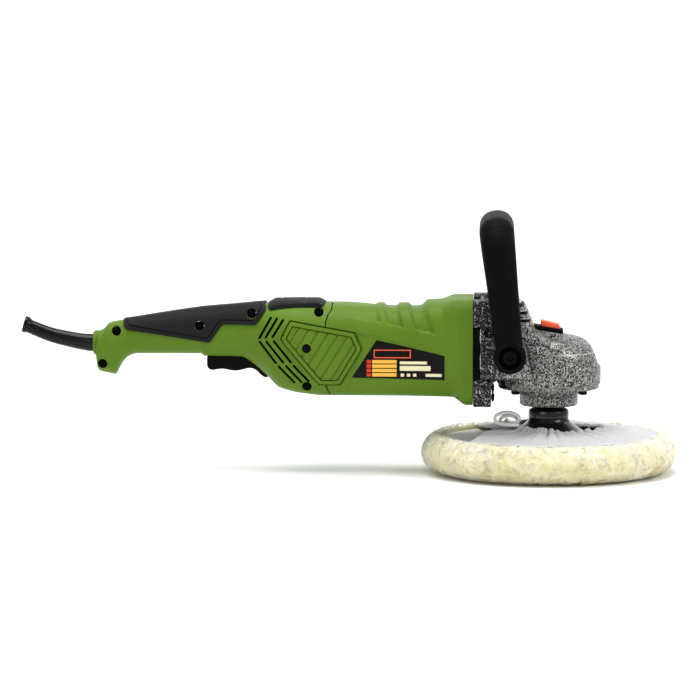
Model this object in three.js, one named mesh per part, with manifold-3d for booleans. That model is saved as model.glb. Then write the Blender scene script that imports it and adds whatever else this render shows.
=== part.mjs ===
import * as THREE from "three";
import { mergeVertices } from "three/addons/utils/BufferGeometryUtils.js";
import Module from "manifold-3d";

// A rotary polisher with a D-handle and a wool bonnet, in millimetres.
// The origin is on the spindle axis at the polishing face. +X points from the rear handle to the
// gear head, +Z is up, and +Y is the tool's left side.

// Clearances and walls
const GAP = 0.3; // between two pieces that touch
const SHELL_WALL = 2.8;
const SHELL_RIM = 0.15; // half the parting gap between the two handle shells

// Drive line
const MOTOR_Z = 105; // height of the motor axis
const GEAR_TEETH = 40;
const PINION_TEETH = 8;
const GEAR_R = 35; // pitch radius of the bevel gear
const PINION_R = (GEAR_R * PINION_TEETH) / GEAR_TEETH;
const GEAR_WEB_Z = 98; // top of the web inside the gear's teeth
const ADDENDUM = 1.2;
const GEAR_ROOT = 3.4; // depth of the V between two gear teeth
const PINION_ROOT = 2;
const LOCK_R = 12.4; // the lock pin's distance from the spindle axis
const LOCK_HOLES = 4;
const PIN_R = 2.5;

// Body: handle, barrel and collar
const SEAM_X = -189; // where the handle shells end and the motor housing starts
const COLLAR_X = -64.6; // front face of the motor housing's collar
const BORE_R = 34; // the barrel's bore, which holds the stator
const GUARD_Z = 109.5; // height of the cord guard where it leaves the heel
const HEEL_COLLAR = [-389.2, -382, 10.6]; // from, to and radius of the collar round it

// Gear head
const FLANGE_X = -64.3;
const LUG_X = -49; // front face of the flange's lugs, where the screw heads bear
const HEAD_FLOOR = 76.5;
const HANDLE_PIVOT = [-33.3, 0, 104];
const HANDLE_LEAN = -0.11; // radians, towards the rear handle

// Lock button
const BUTTON_X = 0.85;
const BUTTON_Y = -LOCK_R;
const BUTTON_HALF = [8, 7];
const POCKET_FLOOR = 112;

// Pad and bonnet
const NECK_R = 17.3;
const NECK_TOP = 52;
const PLATE_R = 46; // the moulded plate's flange
const PLATE_TOP = 31;
const FLARE = 13.5; // how far the neck's flare rises above the flange
const FOAM_R = 88;
const FOAM_BOTTOM = 14;
const FOAM_TOP = 29;
const BONNET_R = 108.4;

// The body's side view from the heel to the collar: place along the tool, underside, top,
// half width, and how square its section is (2 is an ellipse, 6 is nearly a rectangle).
const BODY = [
  [-386.4, 95.5, 114.5, 10, 2.6],
  [-384.4, 86.8, 119.6, 15.2, 2.6],
  [-380.5, 84.8, 121.6, 17.2, 2.6],
  [-376, 83.8, 126.4, 18, 2.6],
  [-370, 82.6, 128.3, 19, 2.6],
  [-365.8, 87.1, 129, 19, 2.6],
  [-359, 97.1, 129.8, 18.5, 2.6],
  [-351.4, 100.5, 131, 18, 2.6],
  [-331, 100.6, 134.3, 18, 2.6],
  [-295, 100, 139.6, 19, 2.6],
  [-263, 98.6, 142.5, 21.5, 2.6],
  [-249.5, 91.5, 143.7, 26, 2.7],
  [-239.3, 81.7, 144.3, 31, 2.8],
  [-229, 72.3, 144.8, 35, 3],
  [-209, 67.6, 145, 38.5, 3.2],
  [-189, 65.9, 144.8, 39.3, 3.2],
  [-120, 65.9, 144.4, 39.3, 3.2],
  [-93, 65.5, 146.5, 40.5, 3.6],
  [-82, 60, 150, 45, 6],
  [-64.6, 60, 150, 45, 6],
];

// Screws that close the handle shells: place along the tool and height.
const SHELL_SCREWS = [
  [-368, 121],
  [-380, 93],
  [-297, 125.6],
  [-252.5, 136.5],
  [-195, 139],
  [-205, 76],
];

// Screws that hold the gear head to the collar: place across the tool and height.
const FLANGE_SCREWS = [-1, 1].flatMap((side) =>
  [-1, 1].map((level) => [side * 35, MOTOR_Z + level * 37]),
);

// Screws that hold the bearing box under the gear head: place along and across the tool.
const BOX_SCREWS = [-1, 1].flatMap((front) =>
  [-1, 1].map((side) => [front * 28.4, side * 28.4]),
);

// Controls and brush gear: each pair is a place along the tool and a height.
const TRIGGER_HALF = 10.5;
const LOCK_ON = [-268, 113];
const DIAL = [-374, 103];
const BRUSH_X = -174;
const COVER_SCREW = [-205, 109];

const wasm = await Module();
wasm.setup();

/** A closed three.js geometry as a solid that can be joined and cut. */
function solid(geometry) {
  const bare = geometry.clone();
  bare.deleteAttribute("normal");
  bare.deleteAttribute("uv");
  const merged = mergeVertices(bare, 1e-4);
  const corners = merged.index.array;
  const kept = [];
  for (let i = 0; i < corners.length; i += 3) {
    const [a, b, c] = [corners[i], corners[i + 1], corners[i + 2]];
    if (a !== b && b !== c && c !== a) kept.push(a, b, c);
  }
  const made = (order) =>
    new wasm.Manifold(
      new wasm.Mesh({
        numProp: 3,
        vertProperties: merged.attributes.position.array,
        triVerts: new Uint32Array(order),
      }),
    );
  const first = made(kept);
  return first.volume() > 0 ? first : made(kept.reverse());
}

/** A solid back as a three.js geometry. */
function geometryOf(body) {
  const mesh = body.getMesh();
  const geometry = new THREE.BufferGeometry();
  geometry.setAttribute("position", new THREE.BufferAttribute(mesh.vertProperties, 3));
  geometry.setIndex(new THREE.BufferAttribute(mesh.triVerts, 1));
  geometry.computeVertexNormals();
  return geometry;
}

const join = (...bodies) => bodies.reduce((all, body) => all.add(body));
const cut = (body, ...tools) => tools.reduce((rest, tool) => rest.subtract(tool), body);

/** The same solid on the other side of the tool. */
function mirrored(body) {
  return solid(geometryOf(body).scale(1, -1, 1));
}

/** A box between two corners. */
function box(low, high) {
  const size = high.map((v, i) => v - low[i]);
  const middle = high.map((v, i) => (v + low[i]) / 2);
  return solid(new THREE.BoxGeometry(...size).translate(...middle));
}

/** An outline seen from above, [x, y], extruded upwards. */
function slab(outline, from, to) {
  const shape = new THREE.Shape(outline.map(([x, y]) => new THREE.Vector2(x, y)));
  const geometry = new THREE.ExtrudeGeometry(shape, { depth: to - from, bevelEnabled: false });
  return solid(geometry.translate(0, 0, from));
}

/** A cylinder about a line that is parallel to X, Y or Z. The centre leaves out that axis. */
function rod(axis, centre, from, to, r, sides = 14) {
  const geometry = new THREE.CylinderGeometry(r, r, to - from, sides);
  const middle = (from + to) / 2;
  if (axis === "x") geometry.rotateZ(Math.PI / 2).translate(middle, centre[0], centre[1]);
  if (axis === "y") geometry.translate(centre[0], middle, centre[1]);
  if (axis === "z") geometry.rotateX(Math.PI / 2).translate(centre[0], centre[1], middle);
  return solid(geometry);
}

/** A closed outline of [radius, height] turned about Z. */
function turned(outline, sides = 16) {
  const points = [...outline, outline[0]].map(([r, z]) => new THREE.Vector2(r, z));
  return solid(new THREE.LatheGeometry(points, sides).rotateX(Math.PI / 2));
}

/** The same, turned about X: the outline is [radius, x]. */
function turnedX(outline, sides = 14) {
  return solid(geometryOf(turned(outline, sides)).rotateY(Math.PI / 2));
}

/** An outline in the side view, [x, z], extruded across the tool from one y to another. */
function plate(outline, from, to) {
  const shape = new THREE.Shape(outline.map(([x, z]) => new THREE.Vector2(x, z)));
  const geometry = new THREE.ExtrudeGeometry(shape, { depth: to - from, bevelEnabled: false });
  return solid(geometry.rotateX(Math.PI / 2).translate(0, to, 0));
}

/** A skin over rings of points: each ring holds as many points as the one before. */
function loft(rings) {
  const count = rings[0].length;
  const index = [];
  for (let ring = 1; ring < rings.length; ring += 1) {
    for (let k = 0; k < count; k += 1) {
      const a = (ring - 1) * count + k;
      const b = (ring - 1) * count + ((k + 1) % count);
      index.push(a, b, b + count, a, b + count, a + count);
    }
  }
  const last = (rings.length - 1) * count;
  for (let k = 1; k < count - 1; k += 1) {
    index.push(0, k + 1, k, last, last + k, last + k + 1);
  }
  const geometry = new THREE.BufferGeometry();
  geometry.setAttribute("position", new THREE.Float32BufferAttribute(rings.flat(2), 3));
  geometry.setIndex(index);
  return solid(geometry);
}

/** Points round a superellipse of half sizes a and b. */
function superellipse(a, b, power, count) {
  const bend = (v) => Math.sign(v) * Math.abs(v) ** (2 / power);
  return Array.from({ length: count }, (_, k) => {
    const angle = (2 * Math.PI * k) / count;
    return [a * bend(Math.cos(angle)), b * bend(Math.sin(angle))];
  });
}

/** The body's section at x: underside, top, half width and squareness. */
function section(x) {
  const next = Math.max(1, BODY.findIndex(([station]) => station >= x));
  const [before, after] = [BODY[next - 1], BODY[next]];
  const t = (x - before[0]) / (after[0] - before[0]);
  return before.slice(1).map((v, i) => v + (after[i + 1] - v) * t);
}

/** Half the body's width at a point of its side view. */
function halfWidthAt(x, z) {
  const [low, high, half, power] = section(x);
  const rise = Math.abs(z - (low + high) / 2) / ((high - low) / 2);
  return half * (1 - rise ** power) ** (1 / power);
}

/** The body between two places along the tool, its surface moved outwards by an offset. */
function bodyBetween(from, to, offset = 0) {
  const inside = BODY.map(([x]) => x).filter((x) => x > from && x < to);
  const rings = [from, ...inside, to].map((x) => {
    const [low, high, half, power] = section(x);
    const points = superellipse(half + offset, (high - low) / 2 + offset, power, 16);
    return points.map(([y, z]) => [x, y, z + (low + high) / 2]);
  });
  return loft(rings);
}

/** A skin on one side of the body, bounded by an outline in the side view. */
function bodySkin(outline, thickness, from, to) {
  const [start, end] = [BODY[0][0], COLLAR_X];
  const outer = bodyBetween(start, end, GAP + thickness).intersect(plate(outline, from, to));
  return cut(outer, bodyBetween(start, end, GAP));
}

/** Oval rings along a path in the YZ plane: each station is [y, z, half along X, half thickness]. */
function bowRings(stations) {
  return stations.map(([y, z, halfX, half], i) => {
    const before = stations[Math.max(0, i - 1)];
    const after = stations[Math.min(stations.length - 1, i + 1)];
    const along = new THREE.Vector2(after[0] - before[0], after[1] - before[1]).normalize();
    const points = superellipse(halfX, half, 2.2, 12);
    return points.map(([a, b]) => [a, y + b * along.y, z - b * along.x]);
  });
}

const LOOKS = {
  green: [0x7fa233, 0.5, 0],
  rubber: [0x2b2a2b, 0.85, 0],
  blackPlastic: [0x181817, 0.55, 0],
  guard: [0x1a1a1a, 0.35, 0],
  orange: [0xf0551e, 0.45, 0],
  hammertone: [0x6a6967, 0.45, 0.6],
  steel: [0xa8a9ab, 0.35, 1],
  darkSteel: [0x2a2a2c, 0.45, 0.8],
  lamination: [0x77787b, 0.6, 0.8],
  copper: [0xb46a35, 0.45, 0.9],
  brass: [0xc8a24a, 0.35, 0.9],
  carbon: [0x303032, 0.9, 0],
  electronics: [0x3a4150, 0.6, 0],
  foam: [0x9a9994, 0.95, 0],
  wool: [0xe9e1b8, 1, 0],
  cloth: [0xe2e2e4, 0.95, 0],
};

/** A group for each rigid body, so that its pieces share one place. */
function rigidBody(position = [0, 0, 0]) {
  const group = new THREE.Group();
  group.position.set(...position);
  return group;
}

const polisher = new THREE.Group();
const housing = rigidBody();
const spindle = rigidBody();
const armature = rigidBody([0, 0, MOTOR_Z]);
const lock = rigidBody([BUTTON_X, BUTTON_Y, 0]);
const handle = rigidBody(HANDLE_PIVOT);
handle.rotation.y = HANDLE_LEAN;
const controls = rigidBody();
polisher.add(housing, spindle, armature, lock, handle, controls);

/** Puts one piece in a group as a named mesh. */
function put(group, name, look, body) {
  const [color, roughness, metalness] = LOOKS[look];
  const material = new THREE.MeshStandardMaterial({ color, roughness, metalness });
  const mesh = new THREE.Mesh(geometryOf(body), material);
  mesh.name = name;
  group.add(mesh);
}

// ---- Handle shells, grips and cord guard ----

/** One shell, open at the parting plane, with screw bosses and holes. The right side is -1. */
function handleShell(side) {
  const start = BODY[0][0];
  const end = SEAM_X - SHELL_RIM;
  const [collarStart, collarEnd, collarR] = HEEL_COLLAR;
  const collar = rod("x", [0, GUARD_Z], collarStart, collarEnd, collarR, 20);
  const outside = join(bodyBetween(start, end), collar);
  let shell = cut(outside, bodyBetween(start + SHELL_WALL, end + 1, -SHELL_WALL));
  for (const [x, z] of SHELL_SCREWS) {
    shell = join(shell, rod("y", [x, z], -30, 30, 4.8, 6).intersect(outside));
  }
  const reach = 60;
  const half = box([collarStart - 1, -reach, 0], [SEAM_X + 1, -SHELL_RIM, 2 * MOTOR_Z]);
  shell = shell.intersect(side < 0 ? half : mirrored(half));
  for (const [x, z] of SHELL_SCREWS) {
    const face = -halfWidthAt(x, z);
    shell = cut(shell, rod("y", [x, z], face + 1, 6.5, 2.1, 6));
    shell = cut(shell, rod("y", [x, z], face - 5, face + 5.5, 4, 8));
  }
  const cordHole = rod("x", [0, GUARD_Z], collarStart - 5, collarStart + 13, 8, 16);
  const triggerSlot = box([-293.2, -11, 70], [-238.5, 11, 108]);
  return cut(shell, cordHole, triggerSlot);
}

/** The left shell also carries the speed dial and the lock-on button. */
function leftShell() {
  const dialWell = rod("y", DIAL, 13, 30, 9.2, 16);
  const buttonHole = rod("y", LOCK_ON, 10, 30, 5.4, 14);
  const well = rod("y", DIAL, 10.5, 18, 11, 16).intersect(bodyBetween(-388, -350));
  return cut(join(handleShell(1), well), dialWell, buttonHole, rod("y", DIAL, 5, 15, 2.6, 12));
}

put(housing, "handle_shell_right", "green", handleShell(-1));
put(housing, "handle_shell_left", "green", leftShell());

// Each shell's soft grip covers its upper half, from the parting plane down to this edge.
const GRIP_OUTLINE = [
  [-362.3, 127],
  [-359, 122.8],
  [-288.2, 111.5],
  [-277.7, 127.5],
  [-249, 127.5],
  [-240.3, 141.3],
  [-243.5, 150],
  [-362.3, 150],
].reverse();

function grip() {
  const holes = SHELL_SCREWS.map((place) => rod("y", place, -50, 0, 4.2, 8));
  return cut(bodySkin(GRIP_OUTLINE, 1.2, -45, -SHELL_RIM), ...holes);
}
put(housing, "grip_right", "rubber", grip());
put(housing, "grip_left", "rubber", mirrored(bodySkin(GRIP_OUTLINE, 1.2, -45, -SHELL_RIM)));

const TOP_PAD_OUTLINE = [
  [-238.5, 141],
  [-200, 141],
  [-189.8, 145],
  [-191, 153],
  [-239, 153],
];
put(housing, "top_pad", "rubber", bodySkin(TOP_PAD_OUTLINE, 3.6, -24, 24));

/** A bent sleeve that keeps the cord from kinking where it leaves the heel. */
function cordGuard() {
  const stations = [
    [-382.6, GUARD_Z, 7.6],
    [-391, GUARD_Z, 7.6],
    [-395, 109.9, 7.3],
    [-404, 111.2, 6.9],
    [-424.6, 115.9, 6.3],
    [-442, 122.6, 5.9],
    [-444.5, 123.6, 7.1],
    [-448.4, 125.3, 7.1],
  ];
  const bore = [
    [-378, GUARD_Z, 4.5],
    [-392, 109.5, 4.5],
    [-404, 111.2, 4.5],
    [-424.6, 115.9, 4.5],
    [-442, 122.6, 4.5],
    [-453, 127.3, 4.5],
  ];
  const sleeve = (list) =>
    loft(
      list.map(([x, z, r], i) => {
        const [ax, az] = list[Math.max(0, i - 1)];
        const [bx, bz] = list[Math.min(list.length - 1, i + 1)];
        const tilt = Math.atan2(bz - az, ax - bx);
        return superellipse(r, r, 2, 12).map(([a, b]) => [
          x + a * Math.sin(tilt),
          b,
          z + a * Math.cos(tilt),
        ]);
      }),
    );
  return cut(sleeve(stations), sleeve(bore));
}
put(housing, "cord_guard", "guard", cordGuard());

/** One shell screw: a pan head in its hole and a shank across the parting plane. */
function shellScrew([x, z]) {
  const face = -halfWidthAt(x, z);
  const head = rod("y", [x, z], face + 2.5, face + 5.2, 3.4, 8);
  return join(head, rod("y", [x, z], face + 5, 6, 1.7, 6));
}
SHELL_SCREWS.forEach((place, i) => {
  put(housing, `shell_screw_${i + 1}`, "darkSteel", shellScrew(place));
});

// ---- Controls ----

put(housing, "switch_module", "electronics", box([-289, -8, 109], [-248, 8, 129.5]));
put(housing, "speed_control", "electronics", box([-382, -7, 98.5], [-365.5, 7.3, 109]));

const TRIGGER_OUTLINE = [
  [-291.3, 103.5],
  [-291.3, 90.4],
  [-289.5, 87.8],
  [-286.3, 87.1],
  [-278.5, 88.6],
  [-266.8, 86.2],
  [-254.7, 89.3],
  [-249.5, 87.7],
  [-245.2, 83],
  [-242.1, 81],
  [-239, 81.2],
  [-239, 103.5],
];
put(controls, "trigger", "blackPlastic", plate(TRIGGER_OUTLINE, -TRIGGER_HALF, TRIGGER_HALF));

const lockOn = join(rod("y", LOCK_ON, 12, 23.6, 4.9, 14), rod("y", LOCK_ON, 12, 14, 6.6, 14));
put(controls, "lock_on_button", "blackPlastic", lockOn);

const dial = join(rod("y", DIAL, 13.3, 18.2, 8.7, 16), rod("y", DIAL, 8, 13.4, 2.2, 12));
put(controls, "speed_dial", "blackPlastic", cut(dial, box([-375, 17, 104], [-373, 20, 111])));

// ---- Motor housing and brush gear ----

/** Barrel and collar in one moulding, with a rear wall that holds the rear bearing. */
function motorHousing() {
  const barrel = bodyBetween(SEAM_X + SHELL_RIM, COLLAR_X);
  const seat = rod("x", [0, MOTOR_Z], -205, -188, 14, 16);
  const tools = [
    rod("x", [0, MOTOR_Z], -184, -60, BORE_R, 28),
    rod("x", [0, MOTOR_Z], -88, -60, 38, 28),
    rod("x", [0, MOTOR_Z], -203.2, -180, 11.4, 16),
    rod("x", [0, MOTOR_Z], -210, -180, 8, 24),
  ];
  for (const [y, z] of FLANGE_SCREWS) tools.push(rod("x", [y, z], -78, -60, 2.4, 6));
  return cut(join(barrel, seat), ...tools);
}

put(housing, "motor_housing", "green", motorHousing());

const COVER_OUTLINE = [
  [-226.5, 116.3],
  [-218.9, 131.3],
  [-165, 121.9],
  [-159, 108.6],
  [-177.2, 78.3],
  [-194.2, 78.3],
].reverse();
const coverRight = cut(
  bodySkin(COVER_OUTLINE, 2, -48, -20),
  rod("y", COVER_SCREW, -48, -20, 2.4, 12),
);
put(housing, "brush_cover_right", "green", coverRight);
put(housing, "brush_cover_left", "green", mirrored(coverRight));

/** The cover's screw stands in the cover, its tip against the housing behind. */
function coverScrew() {
  const face = -halfWidthAt(...COVER_SCREW);
  const head = rod("y", COVER_SCREW, face - 4, face - 2.7, 3.6, 14);
  return join(head, rod("y", COVER_SCREW, face - 2.8, face - GAP, 2, 10));
}
put(housing, "cover_screw_right", "darkSteel", coverScrew());
put(housing, "cover_screw_left", "darkSteel", mirrored(coverScrew()));

/** One brush with the brass box that guides it, on the right side. */
function brushPair() {
  const around = (half, tall, from, to) =>
    box([BRUSH_X - half, -to, MOTOR_Z - tall], [BRUSH_X + half, -from, MOTOR_Z + tall]);
  const holder = cut(around(5.4, 6.4, 14, 32), around(3.7, 4.7, 10, 40));
  return [holder, around(3.4, 4.4, 11.6, 26)];
}
const [holderRight, brushRight] = brushPair();
put(housing, "brush_holder_right", "brass", holderRight);
put(housing, "brush_holder_left", "brass", mirrored(holderRight));
put(housing, "carbon_brush_right", "carbon", brushRight);
put(housing, "carbon_brush_left", "carbon", mirrored(brushRight));

/** An outline in the YZ plane, with an optional hole, extruded along the motor axis. */
function alongMotor(shape, from, to) {
  const geometry = new THREE.ExtrudeGeometry(shape, {
    depth: to - from,
    bevelEnabled: false,
    curveSegments: 9,
  });
  geometry.rotateX(Math.PI / 2).rotateZ(Math.PI / 2);
  return solid(geometry.translate(from, 0, MOTOR_Z));
}

/** A laminated ring with two poles, above and below the armature. */
function statorCore() {
  const shape = new THREE.Shape().absarc(0, 0, BORE_R - 2 * GAP, 0, 2 * Math.PI);
  const hole = new THREE.Path();
  const [inner, outer, reach] = [19.6, 27, 0.95];
  for (const start of [0, Math.PI]) {
    hole.absarc(0, 0, outer, start - (Math.PI / 2 - reach), start + (Math.PI / 2 - reach));
    hole.absarc(0, 0, inner, start + (Math.PI / 2 - reach), start + (Math.PI / 2 + reach));
  }
  shape.holes.push(hole);
  return alongMotor(shape, -150, -95);
}

/** Both field coils: their ends lie before and behind the poles, joined beside the armature. */
function fieldWinding() {
  const axis = [0, MOTOR_Z];
  const ring = (from, to) =>
    cut(rod("x", axis, from, to, 27, 16), rod("x", axis, from - 1, to + 1, 20.5, 16));
  const side = (y) => box([-157, y, MOTOR_Z - 7], [-89, y + 4, MOTOR_Z + 7]);
  return join(ring(-158, -150.4), ring(-94.6, -88.5), side(21), side(-25));
}
put(housing, "stator_core", "lamination", statorCore());
put(housing, "field_winding", "copper", fieldWinding());

/** A ball bearing as one ring with a groove between its races, about X. */
function bearingX(from, to, inner, outer) {
  const middle = (inner + outer) / 2;
  const ring = [
    [inner, from],
    [outer, from],
    [outer, to],
    [middle + 1.2, to],
    [middle + 1, to - 1.2],
    [middle - 1, to - 1.2],
    [middle - 1.2, to],
    [inner, to],
  ];
  return solid(geometryOf(turnedX(ring)).translate(0, 0, MOTOR_Z));
}
put(housing, "rear_bearing", "steel", bearingX(-203, -196, 4.3, 11));
put(housing, "front_bearing", "steel", bearingX(-53.7, -45, 5.3, 16));

// ---- Armature, about the motor axis ----

const shaft = turnedX([
  [0, -208],
  [4, -208],
  [4, -187],
  [5, -186.5],
  [5, -44],
  [2.6, -43.8],
  [2.6, -25],
  [0, -25],
]);
put(armature, "armature_shaft", "steel", shaft);

/** The slotted stack with its winding ends. */
function armatureCore() {
  let core = turnedX([
    [5.3, -158],
    [13, -158],
    [15.5, -149],
    [18.8, -148],
    [18.8, -97],
    [15.5, -96],
    [13, -89],
    [5.3, -89],
  ]);
  const slots = 10;
  for (let k = 0; k < slots; k += 1) {
    const slot = new THREE.BoxGeometry(60, 1.6, 4).translate(-122.5, 0, 18.6);
    core = cut(core, solid(slot.rotateX((2 * Math.PI * k) / slots)));
  }
  return core;
}
put(armature, "armature_core", "lamination", armatureCore());

const commutator = turnedX([
  [5.3, -183.4],
  [11.2, -183.4],
  [11.2, -165],
  [12.6, -164.5],
  [12.6, -162],
  [5.3, -162],
]);
put(armature, "commutator", "copper", commutator);

/** A radial fan: a backplate on a hub, with flat blades. */
function fan() {
  let body = turnedX([
    [5.3, -85],
    [11, -85],
    [12, -74],
    [32, -72.5],
    [32, -70.5],
    [5.3, -70.5],
  ]);
  const blades = 11;
  for (let k = 0; k < blades; k += 1) {
    const blade = new THREE.BoxGeometry(9, 1.6, 19).translate(-77, 0, 21.5);
    body = join(body, solid(blade.rotateX((2 * Math.PI * k) / blades)));
  }
  return body;
}
put(armature, "fan", "blackPlastic", fan());

/** Angle and height round a ring of teeth: each has a flat crest between two slanted flanks. */
function toothRing(teeth, phase, root) {
  const pitch = (2 * Math.PI) / teeth;
  const shares = [
    [-0.5, -root],
    [-0.07, ADDENDUM],
    [0.07, ADDENDUM],
  ];
  const ring = [];
  for (let k = 0; k < teeth; k += 1) {
    for (const [share, height] of shares) ring.push([(k + share + phase) * pitch, height]);
  }
  return ring;
}

/** The pinion's teeth all point at the place where the two axes cross, the armature's own origin. */
function bevelPinion() {
  const teeth = toothRing(PINION_TEETH, 0, PINION_ROOT);
  const ring = (x) =>
    teeth.map(([angle, height]) => {
      const scale = -x / GEAR_R;
      const r = (PINION_R + height) * scale;
      return [x, r * Math.sin(angle), -r * Math.cos(angle)];
    });
  const toothed = loft([ring(-36), ring(-27)]);
  const hub = rod("x", [0, 0], -43.5, -36, 5.6, 16);
  return cut(join(toothed, hub), rod("x", [0, 0], -50, -20, 2.9, 16));
}

put(armature, "bevel_pinion", "steel", bevelPinion());

// ---- Gear head ----

/** The square flange's lugs, one at each corner, with a plate across their front. */
function headFlange() {
  const [reach, inner] = [45, 22];
  let body = box([-58.2, -reach + 1, MOTOR_Z - reach + 1], [-54, reach - 1, MOTOR_Z + reach - 1]);
  for (const [y, z] of FLANGE_SCREWS) {
    const [sideY, sideZ] = [Math.sign(y), Math.sign(z - MOTOR_Z)];
    const ys = [sideY * inner, sideY * reach].sort((a, b) => a - b);
    const zs = [sideZ * inner, sideZ * reach].sort((a, b) => a - b);
    body = join(body, box([FLANGE_X, ys[0], MOTOR_Z + zs[0]], [LUG_X, ys[1], MOTOR_Z + zs[1]]));
  }
  return body;
}

/** The neck narrows from the flange to the head, tall enough for the air duct over the motor. */
function headNeck() {
  const rings = [
    [-55, 70, 147.5, 40],
    [-44, 80, 147.3, 38],
    [-25, 80, 146.8, 36],
    [-18, 80, 137.8, 36],
    [-12, 80, 124.5, 36],
    [0, 80, 119, 36],
  ].map(([x, low, high, half]) =>
    superellipse(half, (high - low) / 2, 5, 16).map(([y, z]) => [x, y, z + (low + high) / 2]),
  );
  return loft(rings);
}

const HEAD_PROFILE = [
  [0, HEAD_FLOOR],
  [42.6, HEAD_FLOOR],
  [44, 86.7],
  [42.8, 93],
  [41.6, 100.4],
  [36.7, 109.8],
  [28.9, 113.7],
  [13, 118.5],
  [0, 119.5],
];

// Side view of the drum's lower wall, which ends in a ledge that falls towards the front.
const WALL_OUTLINE = [
  [-46, HEAD_FLOOR],
  [46, HEAD_FLOOR],
  [46, 91],
  [31.5, 95.6],
  [2, 104.6],
  [-5, 111.4],
  [-46, 111.4],
].reverse();

// Side view of the raised pads that the D-handle's bosses turn on.
const SIDE_PAD_OUTLINE = [
  [-54, 84],
  [-14, 84],
  [-19.6, 107.7],
  [-22, 117],
  [-54, 119],
].reverse();

/** Hollow casting: gear chamber, pinion tunnel, bearing seats, air duct and louvres. */
function gearHousing() {
  const lockBoss = plate(
    [
      [-12, 100],
      [13, 100],
      [13, 123.6],
      [-12, 127.4],
    ],
    BUTTON_Y - 9.5,
    BUTTON_Y + 9.5,
  );
  const [pivotX, , pivotZ] = HANDLE_PIVOT;
  const sideBosses = rod("y", [pivotX, pivotZ], -47.2, 47.2, 13, 16);
  const wall = rod("z", [0, 0], HEAD_FLOOR, 112, 43.9, 30).intersect(plate(WALL_OUTLINE, -46, 46));
  const sidePads = plate(SIDE_PAD_OUTLINE, -45, 45);
  let body = join(headFlange(), headNeck(), turned(HEAD_PROFILE, 30), lockBoss, sideBosses);
  body = join(body, wall, sidePads);
  const [halfX, halfY] = BUTTON_HALF.map((half) => half + GAP);
  body = cut(
    body,
    rod("z", [0, 0], HEAD_FLOOR - 1, 103.5, 37.8, 26),
    rod("x", [0, MOTOR_Z], -70, -53.9, 31, 20),
    rod("x", [0, MOTOR_Z], -60, -44.7, 16.5, 16),
    rod("x", [0, MOTOR_Z], -50, -21, 10.4, 16),
    rod("z", [0, 0], 100, 110, 5.5, 12),
    box([-60, -28, 122], [-26, 28, 143.5]),
    box([BUTTON_X - halfX, BUTTON_Y - halfY, POCKET_FLOOR], [BUTTON_X + halfX, BUTTON_Y + halfY, 140]),
    rod("z", [BUTTON_X, BUTTON_Y], 90, 120, PIN_R + GAP, 10),
  );
  const louvres = [130, 136.5, 143];
  for (const z of louvres) body = cut(body, box([-26.5, -40, z - 1.4], [0, 40, z + 1.4]));
  for (const [y, z] of FLANGE_SCREWS) {
    const ys = [Math.sign(y) * 29.5, Math.sign(y) * 50].sort((a, b) => a - b);
    const zs = [z - 5.5, z + 5.5];
    const pocket = box([LUG_X, ys[0], zs[0]], [-40, ys[1], zs[1]]);
    body = cut(body, pocket, rod("x", [y, z], -70, -45, 2.4, 6));
  }
  for (const side of [-1, 1]) {
    const [from, to] = [side * 35, side * 50].sort((a, b) => a - b);
    body = cut(body, rod("y", [pivotX, pivotZ], from, to, 4.4, 12));
  }
  for (const place of BOX_SCREWS) body = cut(body, rod("z", place, HEAD_FLOOR - 1, 87, 2.2, 6));
  return body;
}

put(housing, "gear_housing", "hammertone", gearHousing());

/** One flange screw: head before the lug, shank through it into the collar. */
FLANGE_SCREWS.forEach(([y, z], i) => {
  const [head, tip] = [LUG_X + GAP, -76];
  const screw = join(rod("x", [y, z], head, head + 4.2, 4, 10), rod("x", [y, z], tip, head + 1, 2, 6));
  put(housing, `flange_screw_${i + 1}`, "darkSteel", screw);
});

/** The plate between fan and gear head, seen between the flange's lugs. */
function fanBaffle() {
  const [wide, narrow] = [41, 21.6];
  const body = join(
    box([FLANGE_X, -wide, MOTOR_Z - narrow], [-58.6, wide, MOTOR_Z + narrow]),
    box([FLANGE_X, -narrow, MOTOR_Z - wide], [-58.6, narrow, MOTOR_Z + wide]),
  );
  return cut(body, rod("x", [0, MOTOR_Z], -70, -50, 29, 20));
}
put(housing, "fan_baffle", "blackPlastic", fanBaffle());

/** The bearing box closes the gear chamber from below and holds the spindle's ball bearing. */
function bearingBox() {
  const top = HEAD_FLOOR - GAP;
  const body = turned(
    [
      [10.6, 57.7],
      [24.85, 57.7],
      [24.85, 67],
      [25.6, 67.2],
      [25.6, top - 3.8],
      [43, top - 3.8],
      [43, top],
      [20.4, top],
      [20.4, 60.5],
      [10.6, 60.5],
    ],
    22,
  );
  return cut(body, ...BOX_SCREWS.map((place) => rod("z", place, 69, 80, 2.2, 6)));
}
put(housing, "bearing_box", "hammertone", bearingBox());

BOX_SCREWS.forEach((place, i) => {
  const screw = join(rod("z", place, 69, 72.1, 3.6, 10), rod("z", place, 72, 85, 1.8, 6));
  put(housing, `box_screw_${i + 1}`, "darkSteel", screw);
});

const ballBearing = turned([
  [8.6, 61],
  [20, 61],
  [20, 73],
  [15.6, 73],
  [15.4, 71.8],
  [13.2, 71.8],
  [13, 73],
  [8.6, 73],
]);
put(housing, "spindle_bearing", "steel", ballBearing);

// ---- Spindle, gear and pad ----

const spindleShaft = turned([
  [0, 36],
  [6.8, 36],
  [6.8, 52.3],
  [10, 52.6],
  [10, 60.6],
  [8.3, 60.8],
  [8.3, 99],
  [5, 99.5],
  [5, 109],
  [0, 109],
]);
put(spindle, "spindle", "steel", spindleShaft);

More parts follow.
